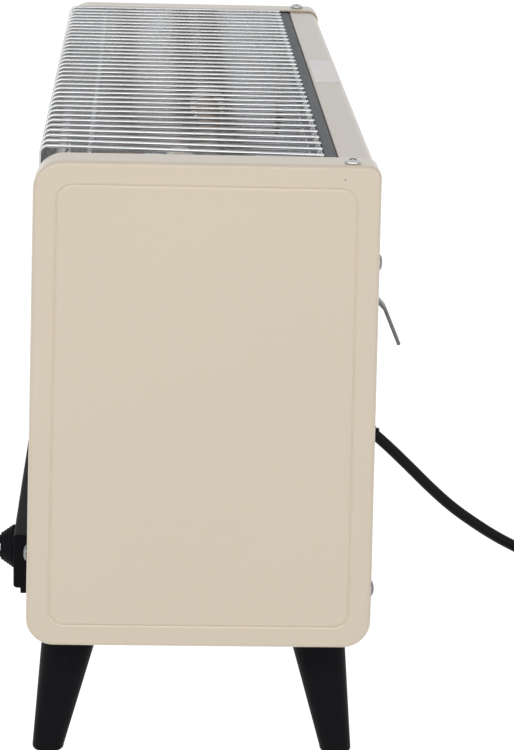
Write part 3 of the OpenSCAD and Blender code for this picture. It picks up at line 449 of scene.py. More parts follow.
finishes = {
    "beige_enamel": enamelFinish("BeigeEnamel", enamel["panels"]),
    "grey_steel": mouldedFinish("GreySteel", "grey_steel", 0.45, 900, 0.04, 0.08, 0.12,
                                (0.86, 0.88, 0.92)),
    "galvanised_steel": metalFinish("GalvanisedSteel", "galvanised_steel", 0.45, 160, dull=0.3),
    "zinc_strip": metalFinish("ZincStrip", "zinc_strip", 0.34, 240, (0.2, 1, 1), dull=0.25,
                              tone=0.5),
    "bright_steel": metalFinish("BrightSteel", "bright_steel", 0.16, 300, tone=0.7),
    "chrome_wire": metalFinish("ChromeWire", "chrome_wire", 0.16, 260, tone=0.7),
    "polished_aluminium": metalFinish("PolishedAluminium", "polished_aluminium", 0.16, 420,
                                      (0.15, 1, 1), wave=2.5, waveScale=9, dull=0.2, tone=0.95),
    "ceramic": ceramicFinish(),
    "heating_wire": windingFinish(),
    "brass": metalFinish("Brass", "brass", 0.28, 260, dull=0.3),
    "black_plastic": mouldedFinish("BlackPlastic", "black_plastic", 0.36, scuff=0.1, gloss=0.02,
                                   tint=(0.75, 0.75, 0.78)),
    "pale_plastic": mouldedFinish("PalePlastic", "pale_plastic", 0.45, scuff=0.02, gloss=0.4),
    "lead_sheath": sheathFinish(),
    "cord_rubber": mouldedFinish("CordRubber", "cord_rubber", 0.3, 700, 0.05, 0.1, 0.08,
                                 (0.7, 0.7, 0.72)),
    "pale_label": labelFinish((1.15, 1.07, 1.1)),
}
# Second looks of two slots: the greyer wrapper, a slightly darker sheet darkened further with
# painted shade of its top strip, and the slightly rougher screws of the walls, whose darkness is
# painted shade
shadedWrapperEnamel = enamelFinish("ShadedWrapperEnamel", enamel["wrapper"])
shadedDullSteel = metalFinish("ShadedDullSteel", "bright_steel", 0.22, 300, tone=0.3)
print("finishes made")

# Every CAD node takes the finish of its own slot; the pieces below stand for those that show
for part in frame["record"]["subparts"]:
    node = frame["nodes"][part["node"]]
    node.data.materials.clear()
    node.data.materials.append(finishes[part["material_slot"]])


def supply(piece, slot, nodes=(), body="root", smooth=32):
    return handIn(piece, finishes[slot], nodes, body, smooth)


# Camera at the photograph's viewpoint
cameraPlace = {"at": (1491.46, -30.19, 588.63), "yaw": -0.0469, "pitch": 0.2925,
               "roll": 0.0278, "lens": 120, "sensor": 36, "clipEnd": 50}  # clipEnd in metres


def addCamera():
    yaw = Matrix.Rotation(cameraPlace["yaw"], 3, "Z")
    side, back, up = yaw @ Vector((0, 1, 0)), yaw @ Vector((1, 0, 0)), Vector((0, 0, 1))
    pitch, roll = cameraPlace["pitch"], cameraPlace["roll"]
    tiltedUp = math.cos(pitch) * up - math.sin(pitch) * back
    tiltedBack = math.cos(pitch) * back + math.sin(pitch) * up
    right = math.cos(roll) * side + math.sin(roll) * tiltedUp
    top = math.cos(roll) * tiltedUp - math.sin(roll) * side
    bpy.ops.object.camera_add()
    camera = bpy.context.object
    turned = Matrix((right, top, tiltedBack)).transposed().to_4x4()
    camera.matrix_world = Matrix.Translation(metres(*cameraPlace["at"])) @ turned
    camera.data.lens = cameraPlace["lens"]
    camera.data.sensor_width = cameraPlace["sensor"]
    camera.data.clip_end = cameraPlace["clipEnd"]
    bpy.context.scene.camera = camera


addCamera()

# Mains lead: its route's points are the ones that the CAD model has
lead = {
    "diameter": 7, "exitX": 22, "exitZ": 115.5, "wallGap": 0.2,
    "droopRadius": 38, "droop": math.radians(36),
    "route": [(22, 122.5, 99.7), (21, 136, 86.5), (20, 150, 72.6), (18, 164, 59.8),
              (17, 178, 49.4), (16, 192, 40.2), (15, 206, 32.4), (14, 220, 25.3),
              (14, 234, 19), (14, 248, 14)],
    "coilCentre": (66, 262), "coilRadius": 52, "coilPitch": 7.6, "coilTurns": 6.25,
    "upperZ": 12, "lowerZ": 4.5, "stepsPerTurn": 24,
    "tail": [(80, 313.5, 4.8), (94, 311.5, 6.8), (108, 308, 10.4), (122, 305, 14.2),
             (136, 303.3, 17)],
    "plugMouth": (150, 303, 18), "smoothness": 6, "length": 1.85,  # length in metres
}

# Strain relief: a ribbed bush that droops with the lead
relief = {"wideRadius": 6.5, "narrowRadius": 4.6, "ribs": 7, "stepsPerRib": 4,
          "grooveDepth": 0.9, "flangeRadius": 9, "flangeDepth": 1.5, "flangeEdge": 0.5,
          "sides": 28}


def reliefStart():  # the flange's lowest edge rests on the leaning wall
    return halfDepth(lead["exitZ"] - relief["flangeRadius"]) + lead["wallGap"]


def droopPoint(angle):
    start = reliefStart()
    radius = lead["droopRadius"]
    return Vector((lead["exitX"], start + radius * math.sin(angle),
                   lead["exitZ"] - radius * (1 - math.cos(angle))))


def coilPoint(turns):  # inwards on the upper layer, then outwards on the lower one
    middle = lead["coilTurns"] / 2
    spent = turns if turns < middle else lead["coilTurns"] - turns
    radius = lead["coilRadius"] - lead["coilPitch"] * spent
    share = min(1, max(0, (turns - middle + 0.25) * 2))
    drop = share * share * (3 - 2 * share)
    angle = math.pi - fullTurn * turns
    return Vector((lead["coilCentre"][0] + radius * math.cos(angle),
                   lead["coilCentre"][1] + radius * math.sin(angle),
                   lead["upperZ"] + (lead["lowerZ"] - lead["upperZ"]) * drop))


def addLead():
    count = round(lead["coilTurns"] * lead["stepsPerTurn"])
    coil = [coilPoint(i / lead["stepsPerTurn"]) for i in range(count + 1)]
    points = [droopPoint(lead["droop"]), *lead["route"], *coil, *lead["tail"],
              lead["plugMouth"]]
    deselect()
    bpy.ops.curve.primitive_bezier_curve_add()
    cord = bpy.context.object
    cord.name = "mainsLead"
    curve = cord.data
    curve.splines.clear()
    spline = curve.splines.new("BEZIER")
    spline.bezier_points.add(len(points) - 1)
    for knot, point in zip(spline.bezier_points, points):
        knot.co = Vector(point) * mm
        knot.handle_left_type = "AUTO"
        knot.handle_right_type = "AUTO"
    curve.dimensions = "3D"
    curve.resolution_u = lead["smoothness"]
    curve.bevel_depth = lead["diameter"] / 2 * mm
    curve.bevel_resolution = lead["smoothness"]
    curve.materials.append(finishes["cord_rubber"])
    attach(cord, "root")
    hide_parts("cord_run", "cord_coil", "cord_tail")
    return cord


mainsLead = addLead()
print("mains lead laid")


def addRelief():
    wall = reliefStart()
    flange = rounded(relief["flangeDepth"], relief["flangeRadius"], relief["flangeEdge"])
    piece = lathe("strainRelief", flange,
                  (lead["exitX"], wall - relief["flangeDepth"], lead["exitZ"]), (0, 1, 0), 32)
    circle(relief["wideRadius"], relief["sides"], (lead["exitX"], wall, lead["exitZ"]))
    sleeve = settled("reliefSleeve")
    openEdit(sleeve)
    steps = relief["ribs"] * relief["stepsPerRib"]
    taper = (relief["narrowRadius"] - relief["wideRadius"]) / steps
    radius = relief["wideRadius"]
    pivot = (lead["exitX"], wall, lead["exitZ"] - lead["droopRadius"])
    for i in range(1, steps + 1):
        swing(-lead["droop"] / steps, 1, pivot)
        wanted = relief["wideRadius"] + taper * i
        if i % relief["stepsPerRib"] in (2, 3) and i < steps - 1:
            wanted -= relief["grooveDepth"]
        ratio = wanted / radius
        radius = wanted
        bpy.ops.transform.resize(value=(ratio, ratio, ratio),
                                 center_override=droopPoint(lead["droop"] * i / steps) * mm)
    bpy.ops.mesh.edge_face_add()
    tidyFaces()
    closeEdit()
    return supply(joined("strainRelief", [sleeve, piece]), "cord_rubber", ["strain_relief"],
                  smooth=40)


addRelief()


# Band that ties the coil
tie = {"turn": 0.125, "width": 9, "thickness": 0.8, "corner": 2.2, "gap": 0.6}


def addTie():
    low, high = boxOf("cord_tie")
    angle = math.pi - fullTurn * tie["turn"]
    radii = [lead["coilRadius"] - lead["coilTurns"] / 2 * lead["coilPitch"],
             lead["coilRadius"] - tie["turn"] * lead["coilPitch"]]
    inner = radii[0] - lead["diameter"] / 2 - tie["gap"]
    outer = radii[1] + lead["diameter"] / 2 + tie["gap"]
    bottom, top = low[2] + tie["thickness"] / 2, high[2] - tie["thickness"] / 2
    piece = loopOf("coilTie", [(inner, bottom), (outer, bottom), (outer, top), (inner, top)],
                   [tie["corner"]] * 4, 6, lambda r, z: (r, -tie["width"] / 2, z))
    openEdit(piece)
    bpy.ops.mesh.delete(type="ONLY_FACE")
    pickAll()
    extrude((0, tie["width"], 0))
    tidyFaces()
    closeEdit()
    modify(piece, "SOLIDIFY", thickness=tie["thickness"] * mm, offset=0)
    softEdges(piece, 0.25)
    piece.matrix_world = (Matrix.Translation(metres(*lead["coilCentre"], 0))
                          @ Matrix.Rotation(angle, 4, "Z"))
    return supply(piece, "cord_rubber", ["cord_tie"])


coilTie = addTie()


# Plug: a round two-pin plug with finger grooves and side earth contacts
plug = {"neckLength": 24, "neckRadius": 5.5, "neckRibs": 4, "ribPitch": 4.4,
        "bodyLength": 34, "bodyRadius": 18, "grooves": 3, "groovePitch": 3.6,
        "grooveDepth": 1.1, "pinRadius": 2.4, "pinPitch": 19, "pinLength": 19, "pinRoot": 1,
        "slotLength": 14, "slotWidth": 7, "clipSize": (13, 5.2, 0.8)}


def plugProfile():
    neck, length, radius = plug["neckLength"], plug["bodyLength"], plug["bodyRadius"]
    profile = [(0, 0), (0, plug["neckRadius"] - 0.6), (0.6, plug["neckRadius"])]
    for i in range(plug["neckRibs"]):
        start = 3 + i * plug["ribPitch"]
        wide = plug["neckRadius"] + 0.5 * i
        profile += [(start, wide), (start + 0.7, wide - 0.9), (start + 1.8, wide - 0.9),
                    (start + 2.5, wide + 0.3)]
    profile += [(neck - 3, 8.2), (neck - 1, 9.5), (neck + 2, 13.2), (neck + 5, 15.8),
                (neck + 8, 17.2)]
    for i in range(plug["grooves"]):
        start = neck + 9.5 + i * plug["groovePitch"]
        deep = radius - plug["grooveDepth"]
        profile += [(start, radius - 0.2), (start + 0.8, deep), (start + 1.6, deep),
                    (start + 2.4, radius - 0.2)]
    end = neck + length
    return profile + [(end - 12, radius), (end - 1.2, radius), (end - 0.4, radius - 0.4),
                      (end, radius - 1.2), (end, 0)]


def addPlug():
    mouth = Vector(lead["plugMouth"])
    face = plug["neckLength"] + plug["bodyLength"]
    halfSlot, halfClip = plug["slotWidth"] / 2, Vector(plug["clipSize"]) / 2
    body = lathe("plugBody", plugProfile(), mouth, (1, 0, 0), 56)
    profile = rounded(plug["pinLength"] + plug["pinRoot"], plug["pinRadius"], 0.9, 5)
    pins = []
    for side in (-1, 1):
        centre = mouth + Vector((face, 0, side * (plug["bodyRadius"] - 1.4)))
        slot = block("slotCutter", centre - Vector((plug["slotLength"], halfSlot, 1.5)),
                     centre + Vector((4, halfSlot, 3)))
        cutAway(body, slot)
        start = mouth + Vector((face - plug["pinRoot"], side * plug["pinPitch"] / 2, 0))
        pins.append(lathe("plugPin", profile, start, (1, 0, 0), 24))
        centre += Vector((-plug["slotLength"] / 2, 0, -0.9 * side))
        clip = block("earthClip", centre - halfClip, centre + halfClip)
        softEdges(clip, 0.25)
        pins.append(clip)
    supply(body, "cord_rubber", ["plug_body"], smooth=38)
    return body, supply(joined("plugPins", pins), "bright_steel", ["plug_pins"], smooth=38)


plugBody, plugPins = addPlug()
tuple(droopPoint(lead["droop"]) * mm)
print("plug and tie made")


# End panels: a flat face with a pressed line, a rolled edge and a flange over the wrapper
endPanel = {"flange": 21.5, "roll": 3, "rollSteps": 6, "cornerSteps": 14, "border": 6,
            "lineInset": 10.5, "lineWidth": 3, "lineDepth": 0.75, "lineCorner": 10,
            "lineSteps": 10}


def trapezoid(inset):
    lowZ, highZ = cabinet["low"] + inset, cabinet["high"] - inset
    lowY, highY = [halfDepth(z) - inset / math.cos(cabinet["lean"]) for z in (lowZ, highZ)]
    return [(-lowY, lowZ), (lowY, lowZ), (highY, highZ), (-highY, highZ)]


def cornersAt(inset):  # radii of the trapezoid's corners; the one at the rear top is tighter
    wide = cabinet["corner"] - inset
    return [wide, wide, cabinet["rearCorner"] - inset, wide]


def addEndPanel(name, side, node):
    sheet = cabinet["sheet"]
    x = side * (cabinet["length"] / 2 - sheet / 2)

    def atFace(y, z):
        return (x, y, z)

    inner = loopOf(name, trapezoid(endPanel["lineInset"]), [endPanel["lineCorner"]] * 4,
                   endPanel["cornerSteps"], atFace)
    outer = loopOf(name, trapezoid(sheet / 2), cornersAt(sheet / 2), endPanel["cornerSteps"],
                   atFace)
    piece = joined(name, [outer, inner])
    openEdit(piece)
    bpy.ops.mesh.delete(type="ONLY_FACE")
    pickAll()
    bpy.ops.mesh.bridge_edge_loops()

    def isInside(co, edge):  # on the inner outline
        border = endPanel["border"]
        return (edge.is_boundary and abs(co[1]) < halfDepth(co[2]) - border
                and cabinet["low"] + border < co[2] < cabinet["high"] - border)

    pickEdges(piece, isInside)
    bpy.ops.mesh.edge_face_add()
    pickAll()
    bpy.ops.mesh.normals_make_consistent(inside=False)
    mesh = bmesh.from_edit_mesh(piece.data)
    if sum(face.normal.x for face in mesh.faces) * side < 0:
        bpy.ops.mesh.flip_normals()
    middle = Vector((0, (cabinet["low"] + cabinet["high"]) / 2))
    pickFaces(piece, lambda centre, normal: (Vector(centre[1:]) - middle).length < 8)
    steps = endPanel["lineSteps"]
    depths = [endPanel["lineDepth"] * (math.cos(fullTurn * i / steps) - 1) / 2
              for i in range(steps + 1)]
    for before, after in zip(depths, depths[1:]):
        bpy.ops.mesh.inset(thickness=endPanel["lineWidth"] / steps * mm,
                           depth=(after - before) * mm)
    pickEdges(piece, lambda co, edge: edge.is_boundary)
    extrude((-side * (endPanel["flange"] - sheet / 2), 0, 0))

    def isRim(co, edge):  # between the face and the flange
        return abs(co[0] - x) < 0.01 and min(abs(f.normal.x) for f in edge.link_faces) < 0.1

    roundEdges(piece, isRim, endPanel["roll"] - sheet / 2, endPanel["rollSteps"])
    tidyFaces()
    closeEdit()
    modify(piece, "SOLIDIFY", thickness=sheet * mm, offset=0, use_even_offset=True)
    return supply(piece, "beige_enamel", [node])


addEndPanel("rightEndPanel", 1, "right_end_panel")
addEndPanel("leftEndPanel", -1, "left_end_panel")
print("end panels made")


# Wrapper: the rear shell with its slots, and the front sill
wrapper = {"half": 267, "stripY": 67, "stripFold": 12, "stripBend": 0.8, "sillZ": 132,
           "sillFold": 14, "sillBend": 1.2, "returnWidth": 46, "bendSteps": 10,
           "slotWidth": 18, "slotHeight": 12, "slotDepth": 16, "slotPitch": 26,
           "slotColumns": range(2, 8), "slotRows": (130, 292), "slotRadius": 2.5}
channel = {"rearFlange": 13.5, "bend": 1}


def addRearShell():
    inset = cabinet["sheet"] * 1.5 + cabinet["gap"]
    corners = trapezoid(inset)
    edgeY = wrapper["stripY"] + cabinet["sheet"] / 2
    topZ, lowZ = cabinet["high"] - inset, cabinet["low"] + inset
    radii = cornersAt(inset)
    line = [(edgeY, topZ - wrapper["stripFold"]), (edgeY, topZ), corners[2], corners[1],
            (cabinet["depthLow"] / 2 - wrapper["returnWidth"], lowZ)]
    shell = foldedSheet("rearWrapper", line, -wrapper["half"], wrapper["half"],
                        cabinet["sheet"], {1: wrapper["stripBend"], 2: radii[2], 3: radii[1]},
                        wrapper["bendSteps"])
    half = Vector((wrapper["slotWidth"], wrapper["slotDepth"], wrapper["slotHeight"])) / 2
    cutters = []
    for z in wrapper["slotRows"]:
        for side in (-1, 1):
            for column in wrapper["slotColumns"]:
                centre = Vector((side * column * wrapper["slotPitch"], halfDepth(z), z))
                cutter = block("slot", centre - half, centre + half)
                openEdit(cutter)
                roundEdges(cutter, lambda co, edge: span(edge, 1) > wrapper["slotDepth"] / 2,
                           wrapper["slotRadius"], 5)
                closeEdit()
                cutters.append(cutter)
    cutAway(shell, joined("slots", cutters))
    # the wrapper's enamel carries painted shade on its top strip
    return handIn(shell, shadedWrapperEnamel, ["rear_shell"])


def addFrontSill():
    inset = cabinet["sheet"] * 1.5 + cabinet["gap"]
    corners = trapezoid(inset)
    topZ = wrapper["sillZ"] - cabinet["sheet"] / 2
    frontY = inset / math.cos(cabinet["lean"]) - halfDepth(topZ)
    line = [(frontY + wrapper["sillFold"], topZ), (frontY, topZ), corners[0],
            (wrapper["returnWidth"] - cabinet["depthLow"] / 2, corners[0][1])]
    sill = foldedSheet("frontSill", line, -wrapper["half"], wrapper["half"], cabinet["sheet"],
                       {1: wrapper["sillBend"], 2: cabinet["corner"] - inset},
                       wrapper["bendSteps"])
    return supply(sill, "beige_enamel", ["front_sill"])


def addChannel():
    low, high = boxOf("grille_channel")
    half = cabinet["sheet"] / 2
    front, rear, top = low[1] + half, high[1] - half, high[2] - half
    line = [(front, low[2]), (front, top), (rear, top), (rear, top - channel["rearFlange"])]
    piece = foldedSheet("grilleChannel", line, low[0], high[0], cabinet["sheet"],
                        {1: channel["bend"], 2: channel["bend"]}, 5)
    return supply(piece, "grey_steel", ["grille_channel"])


addRearShell()
addFrontSill()
addChannel()
print("wrapper made")


# Reflector: an arc from the front sill up to a bend behind the bars
reflector = {"thickness": 0.6, "rearY": 59.7, "bendZ": 306, "lowY": -76.5, "lowZ": 132.9,
             "ledgeRise": 1, "steps": 56}


def addReflector():
    low, high = boxOf("reflector")
    half = reflector["thickness"] / 2
    reachY = reflector["rearY"] - reflector["lowY"]
    reachZ = reflector["bendZ"] - reflector["lowZ"]
    radius = (reachY ** 2 + reachZ ** 2) / (2 * reachZ)
    centreZ = reflector["lowZ"] + radius
    sweep = math.pi / 2 + math.asin((reflector["bendZ"] - centreZ) / radius)
    piece = drawLine("reflector", [(low[0], reflector["lowY"], low[2] + half),
                                   (high[0], reflector["lowY"], low[2] + half)])
    openEdit(piece)
    swing(sweep, reflector["steps"], (0, reflector["lowY"], centreZ))
    mesh = bmesh.from_edit_mesh(piece.data)
    end = max((v.co for v in mesh.verts if v.select), key=lambda co: co.z) / mm
    extrude((0, high[1] - half - end[1], reflector["ledgeRise"]))
    extrude((0, 0, high[2] - end[2] - reflector["ledgeRise"]))
    pickEdges(piece, lambda co, edge: abs(co[1] - reflector["lowY"]) < 0.01
              and co[2] < reflector["lowZ"] + 1)
    extrude((0, low[1] - reflector["lowY"], 0))
    tidyFaces()
    closeEdit()
    modify(piece, "SOLIDIFY", thickness=reflector["thickness"] * mm, offset=0)
    return supply(piece, "polished_aluminium", ["reflector"])


addReflector()
print("reflector made")


# Grille: thirty-six bent wires on four rails; the last ones fan out towards their rear ends
grille = {"count": 36, "pitch": 13.58, "radius": 1, "bead": 0.05, "bend": 4, "setBack": 1.3,
          "fan": 12.4, "fanCount": 7, "sides": 14, "bendSteps": 8, "railRadius": 1.5,
          "railReach": 6}


def addWires():
    low, high = boxOf("grille_wires")
    r, bend, lean = grille["radius"], grille["bend"], cabinet["lean"]
    topZ = high[2] - r - grille["bead"]
    bendZ = topZ - bend
    bendY = (grille["setBack"] + r + bend) / math.cos(lean) - halfDepth(bendZ)
    frontY = bendY - bend * math.cos(lean)
    firstX = low[0] + r + grille["bead"]
    circle(r, grille["sides"], (firstX, high[1], topZ), fill="NGON")
    wire = settled("grilleWires")
    openEdit(wire)
    extrude((0, bendY - high[1], 0))
    swing(math.pi / 2 - lean, grille["bendSteps"], (firstX, bendY, bendZ))
    mesh = bmesh.from_edit_mesh(wire.data)
    ends = [v.co / mm for v in mesh.verts if v.select]
    middle = sum(ends, Vector()) / len(ends)
    drop = middle[2] - low[2]
    extrude((0, -drop * math.tan(lean), -drop))
    tidyFaces()
    closeEdit()
    softEdges(wire, 0.4, 3, 60)
    copies = [wire]
    pivot = Vector((firstX, frontY, 0))
    for i in range(1, grille["count"]):
        step = max(0, i + 1 - grille["count"] + grille["fanCount"]) / grille["fanCount"]
        turn = Matrix.Rotation(-math.atan(step * grille["fan"] / (high[1] - frontY)), 3, "Z")
        move = pivot + Vector((i * grille["pitch"], 0, 0)) - turn @ pivot
        copies.append(copyOf(wire, move, turn))
    return supply(joined("grilleWires", copies), "chrome_wire", ["grille_wires"], smooth=50)


def addRails():  # one rail at the middle of each group of the CAD rails' points
    mesh = frame["nodes"]["grille_rails"].data
    low, high = boxOf("grille_rails")
    groups = []
    for vertex in mesh.vertices:
        spot = Vector((vertex.co.y, vertex.co.z)) / mm
        known = [g for g in groups if (g[0] - spot).length < grille["railReach"]]
        if known:
            known[0].append(spot)
        else:
            groups.append([spot])
    rails = []
    for group in groups:
        ys = [spot[0] for spot in group]
        zs = [spot[1] for spot in group]
        middle = ((min(ys) + max(ys)) / 2, (min(zs) + max(zs)) / 2)
        rails.append(lathe("rail", rounded(high[0] - low[0], grille["railRadius"], 0.5),
                           (low[0], *middle), (1, 0, 0), 20))
    return supply(joined("grilleRails", rails), "chrome_wire", ["grille_rails"], smooth=50)


addWires()
addRails()
print("grille made")


# Heating bars: ceramic rods with a wound wire, in end insulators, with a ring at the middle
bars = {"levels": ("upper", "middle", "lower"), "rodEdge": 0.6, "wireRadius": 0.7,
        "windingRadius": 7.1, "windingPitch": 2.35, "stepsPerTurn": 14, "wireSides": 5,
        "ringRadius": 13, "ringBore": 8.1, "ringEdge": 1.2}
insulator = {"radius": 12, "length": 11, "bore": 6.2, "boreDepth": 6, "groove": (4.6, 5.8),
             "grooveDepth": 0.8, "tailRadius": 6, "tailEnd": 16.8, "studBore": 2.2,
             "edge": 0.6}


def barPlace(level):  # Y and Z of a bar's middle line
    low, high = boxOf(level + "_element_rod")
    return (low[1] + high[1]) / 2, (low[2] + high[2]) / 2


def addRod(level):
    low, high = boxOf(level + "_element_rod")
    profile = rounded(high[0] - low[0], (high[2] - low[2]) / 2, bars["rodEdge"])
    rod = lathe(level + "Rod", profile, (low[0], *barPlace(level)), (1, 0, 0), 28)
    return supply(rod, "ceramic", [level + "_element_rod"], smooth=50)


def addWinding(level):  # the object stays on the bar's line, round which the wire is wound
    low, high = boxOf(level + "_element_winding")
    turns = int((high[0] - low[0] - 2 * bars["wireRadius"]) / bars["windingPitch"])
    circle(bars["wireRadius"], bars["wireSides"],
           (low[0] + bars["wireRadius"], *barPlace(level)))
    winding = bpy.context.object
    winding.name = level + "Winding"
    bpy.ops.object.transform_apply(location=False, rotation=True, scale=True)
    openEdit(winding)
    bpy.ops.transform.translate(value=metres(0, 0, bars["windingRadius"]))
    closeEdit()
    modify(winding, "SCREW", axis="X", screw_offset=bars["windingPitch"] * mm,
           iterations=turns, steps=bars["stepsPerTurn"], render_steps=bars["stepsPerTurn"])
    openEdit(winding)
    bpy.ops.mesh.remove_doubles(threshold=0.002 * mm)
    bpy.ops.mesh.select_all(action="DESELECT")
    bpy.ops.mesh.select_mode(type="EDGE")
    bpy.ops.mesh.select_non_manifold()
    bpy.ops.mesh.edge_face_add()
    pickAll()
    bpy.ops.mesh.normals_make_consistent(inside=False)
    closeEdit()
    return supply(winding, "heating_wire", [level + "_element_winding"], smooth=80)


def ringProfile(width, outer, inner, edge):
    return [(0, inner), (0, outer - edge), (edge * 0.3, outer - edge * 0.3), (edge, outer),
            (width - edge, outer), (width - edge * 0.3, outer - edge * 0.3),
            (width, outer - edge), (width, inner), (0, inner)]


def insulatorProfile():  # a grooved disc on the rod's end, and a tail through the end plate
    radius, bore, edge = insulator["radius"], insulator["bore"], insulator["edge"]
    deep = radius - insulator["grooveDepth"]
    grooveStart, grooveEnd = insulator["groove"]
    length, tail, end = insulator["length"], insulator["tailRadius"], insulator["tailEnd"]
    return [(0, bore), (0, radius - 1), (0.4, radius - 0.3), (1.2, radius),
            (grooveStart - edge, radius), (grooveStart, deep), (grooveEnd, deep),
            (grooveEnd + edge, radius), (length, radius), (length, tail), (end - edge, tail),
            (end, tail - edge), (end, insulator["studBore"]),
            (insulator["boreDepth"], insulator["studBore"]), (insulator["boreDepth"], bore),
            (0, bore)]


def addCeramics():
    ringLow, ringHigh = boxOf("element_rings")
    ring = ringProfile(ringHigh[0] - ringLow[0], bars["ringRadius"], bars["ringBore"],
                       bars["ringEdge"])
    startX = boxOf("right_end_plate")[0][0] - insulator["length"]
    rings, insulators = [], []
    for level in bars["levels"]:
        middle = barPlace(level)
        rings.append(lathe("ring", ring, (ringLow[0], *middle), (1, 0, 0), 36))
        for side in (-1, 1):
            insulators.append(lathe("insulator", insulatorProfile(), (side * startX, *middle),
                                    (side, 0, 0), 36))
    supply(joined("elementRings", rings), "ceramic", ["element_rings"])
    supply(joined("elementInsulators", insulators), "ceramic", ["element_insulators"])


for level in bars["levels"]:
    addRod(level)
    addWinding(level)
addCeramics()
print("heating bars made")


# Control strip and knob
strip = {"edge": 2, "lipStep": 3.7, "lipHeight": 3}
knob = {"skirt": 7.3, "skirtRadius": 11.5, "rim": 1.2, "topRadius": 7.25, "rings": 4,
        "ringDepth": 0.45, "gripWidth": 5, "gripInset": 1.3, "gripEdge": 0.8,
        "pointerWidth": 1}


def addStrip():
    low, high = boxOf("control_strip")
    front, bottom, top = low[1], low[2], high[2]
    lipY, ledge = front + strip["lipStep"], bottom + strip["lipHeight"]
    back = cabinet["sheet"] + cabinet["gap"]
    outline = [(back - halfDepth(top), top), (front, top), (front, ledge), (lipY, ledge),
               (lipY, bottom), (back - halfDepth(bottom), bottom)]
    piece = drawLine("controlStrip", [(low[0], y, z) for y, z in outline])
    openEdit(piece)
    bpy.ops.mesh.edge_face_add()
    extrude((high[0] - low[0], 0, 0))
    roundEdges(piece, lambda co, edge: abs(co[1] - front) < 0.01 and span(edge, 0) > 100,
               strip["edge"], 6)
    tidyFaces()
    closeEdit()
    softEdges(piece, 0.4)
    return supply(piece, "black_plastic", ["control_strip"])


def addKnob():
    low, high = boxOf("control_knob")
    x, z = (low[0] + high[0]) / 2, (low[2] + high[2]) / 2
    base, outer, rim = high[1], knob["skirtRadius"], knob["rim"]
    profile = [(0, 3), (0, outer - 0.3), (0.3, outer), (rim, outer)]
    slope = (knob["topRadius"] - outer) / (knob["skirt"] - rim)
    step = (knob["skirt"] - rim - 0.6) / knob["rings"]
    for i in range(knob["rings"]):
        start = rim + 0.2 + i * step
        wide = outer + slope * (start - rim)
        profile += [(start, wide), (start + 0.18, wide - knob["ringDepth"]),
                    (start + 0.5, wide - 0.35 + slope * 0.5)]
    profile += [(knob["skirt"] - 0.3, knob["topRadius"] + 0.2),
                (knob["skirt"], knob["topRadius"] - 0.3), (knob["skirt"], 0)]
    skirt = lathe("controlKnob", profile, (x, base, z), (0, -1, 0), 48)
    halfWidth, halfHeight = knob["gripWidth"] / 2, knob["topRadius"] - knob["gripInset"]
    grip = block("knobGrip", (x - halfWidth, low[1], z - halfHeight),
                 (x + halfWidth, base - 2, z + halfHeight))
    openEdit(grip)
    pickFaces(grip, lambda centre, normal: normal.y < -0.9)
    bpy.ops.transform.resize(value=(0.72, 1, 0.94), center_override=metres(x, low[1], z))
    closeEdit()
    softEdges(grip, knob["gripEdge"], 4)
    supply(joined("controlKnob", [grip, skirt]), "black_plastic", ["control_knob"], "knob")
    line = block("knobPointer", (x - knob["pointerWidth"] / 2, low[1] - 0.03, z + 1),
                 (x + knob["pointerWidth"] / 2, low[1] + 0.6, z + knob["topRadius"] - 2.8))
    softEdges(line, 0.15)
    supply(line, "pale_label", (), "knob")


addStrip()
addKnob()
print("controls made")


# Legs: tapered and splayed outwards
legs = {"topRadius": 15.75, "topStraight": 2, "footRadius": 8.5, "footStraight": 1.5,
        "splay": 12.5, "sides": 40, "footEdge": 1.2}


def addLeg(name, node, sx, sy):
    low, high = boxOf(node)
    footX = (high[0] if sx > 0 else low[0]) - sx * legs["footRadius"]
    footY = (high[1] if sy > 0 else low[1]) - sy * legs["footRadius"]
    circle(legs["footRadius"], legs["sides"], (footX, footY, 0), upright=False, fill="NGON")
    leg = settled(name)
    openEdit(leg)
    foot = Vector((footX, footY, legs["footStraight"]))
    taper = Vector((-sx * legs["splay"], -sy * legs["splay"],
                    high[2] - legs["footStraight"] - legs["topStraight"]))
    ratio = legs["topRadius"] / legs["footRadius"]
    extrude((0, 0, legs["footStraight"]))
    extrude(taper)
    bpy.ops.transform.resize(value=(ratio, ratio, 1), center_override=(foot + taper) * mm)
    extrude((0, 0, legs["topStraight"]))
    tidyFaces()
    roundEdges(leg, lambda co, edge: co[2] < 0.01, legs["footEdge"], 4)
    closeEdit()
    return supply(leg, "black_plastic", [node], smooth=40)


for depthName, sy in (("front", -1), ("rear", 1)):
    for sideName, sx in (("right", 1), ("left", -1)):
        addLeg(depthName + sideName.title() + "Leg", depthName + "_" + sideName + "_leg", sx, sy)
print("legs made")


# Hooks on the rear wall
hook = {"thickness": 2, "bendZ": 240, "root": 30, "knee": (14.6, -15.2), "tip": (23.3, -35.6),
        "bendRadius": 5}


def addHook(name, node):
    low, high = boxOf(node)
    lean = cabinet["lean"]
    bend = Vector((halfDepth(hook["bendZ"]) - cabinet["sheet"] - cabinet["gap"], hook["bendZ"]))
    line = [bend + hook["root"] * Vector((-math.sin(lean), math.cos(lean))), bend,
            bend + Vector(hook["knee"]), bend + Vector(hook["tip"])]
    ways = [(b - a).normalized() for a, b in zip(line, line[1:])]
    normals = [Vector((-way[1], way[0])) for way in ways]
    sums = [normals[0], *[(a + b) / (1 + a.dot(b)) for a, b in zip(normals, normals[1:])],
            normals[-1]]
    middle = [p + n * hook["thickness"] / 2 for p, n in zip(line, sums)]
    piece = foldedSheet(name, middle, low[0], high[0], hook["thickness"],
                        {1: hook["bendRadius"], 2: hook["bendRadius"]}, 8)
    softEdges(piece, 0.5, 3, 60)
    return supply(piece, "zinc_strip", [node])


addHook("rightHook", "right_hook")
addHook("leftHook", "left_hook")


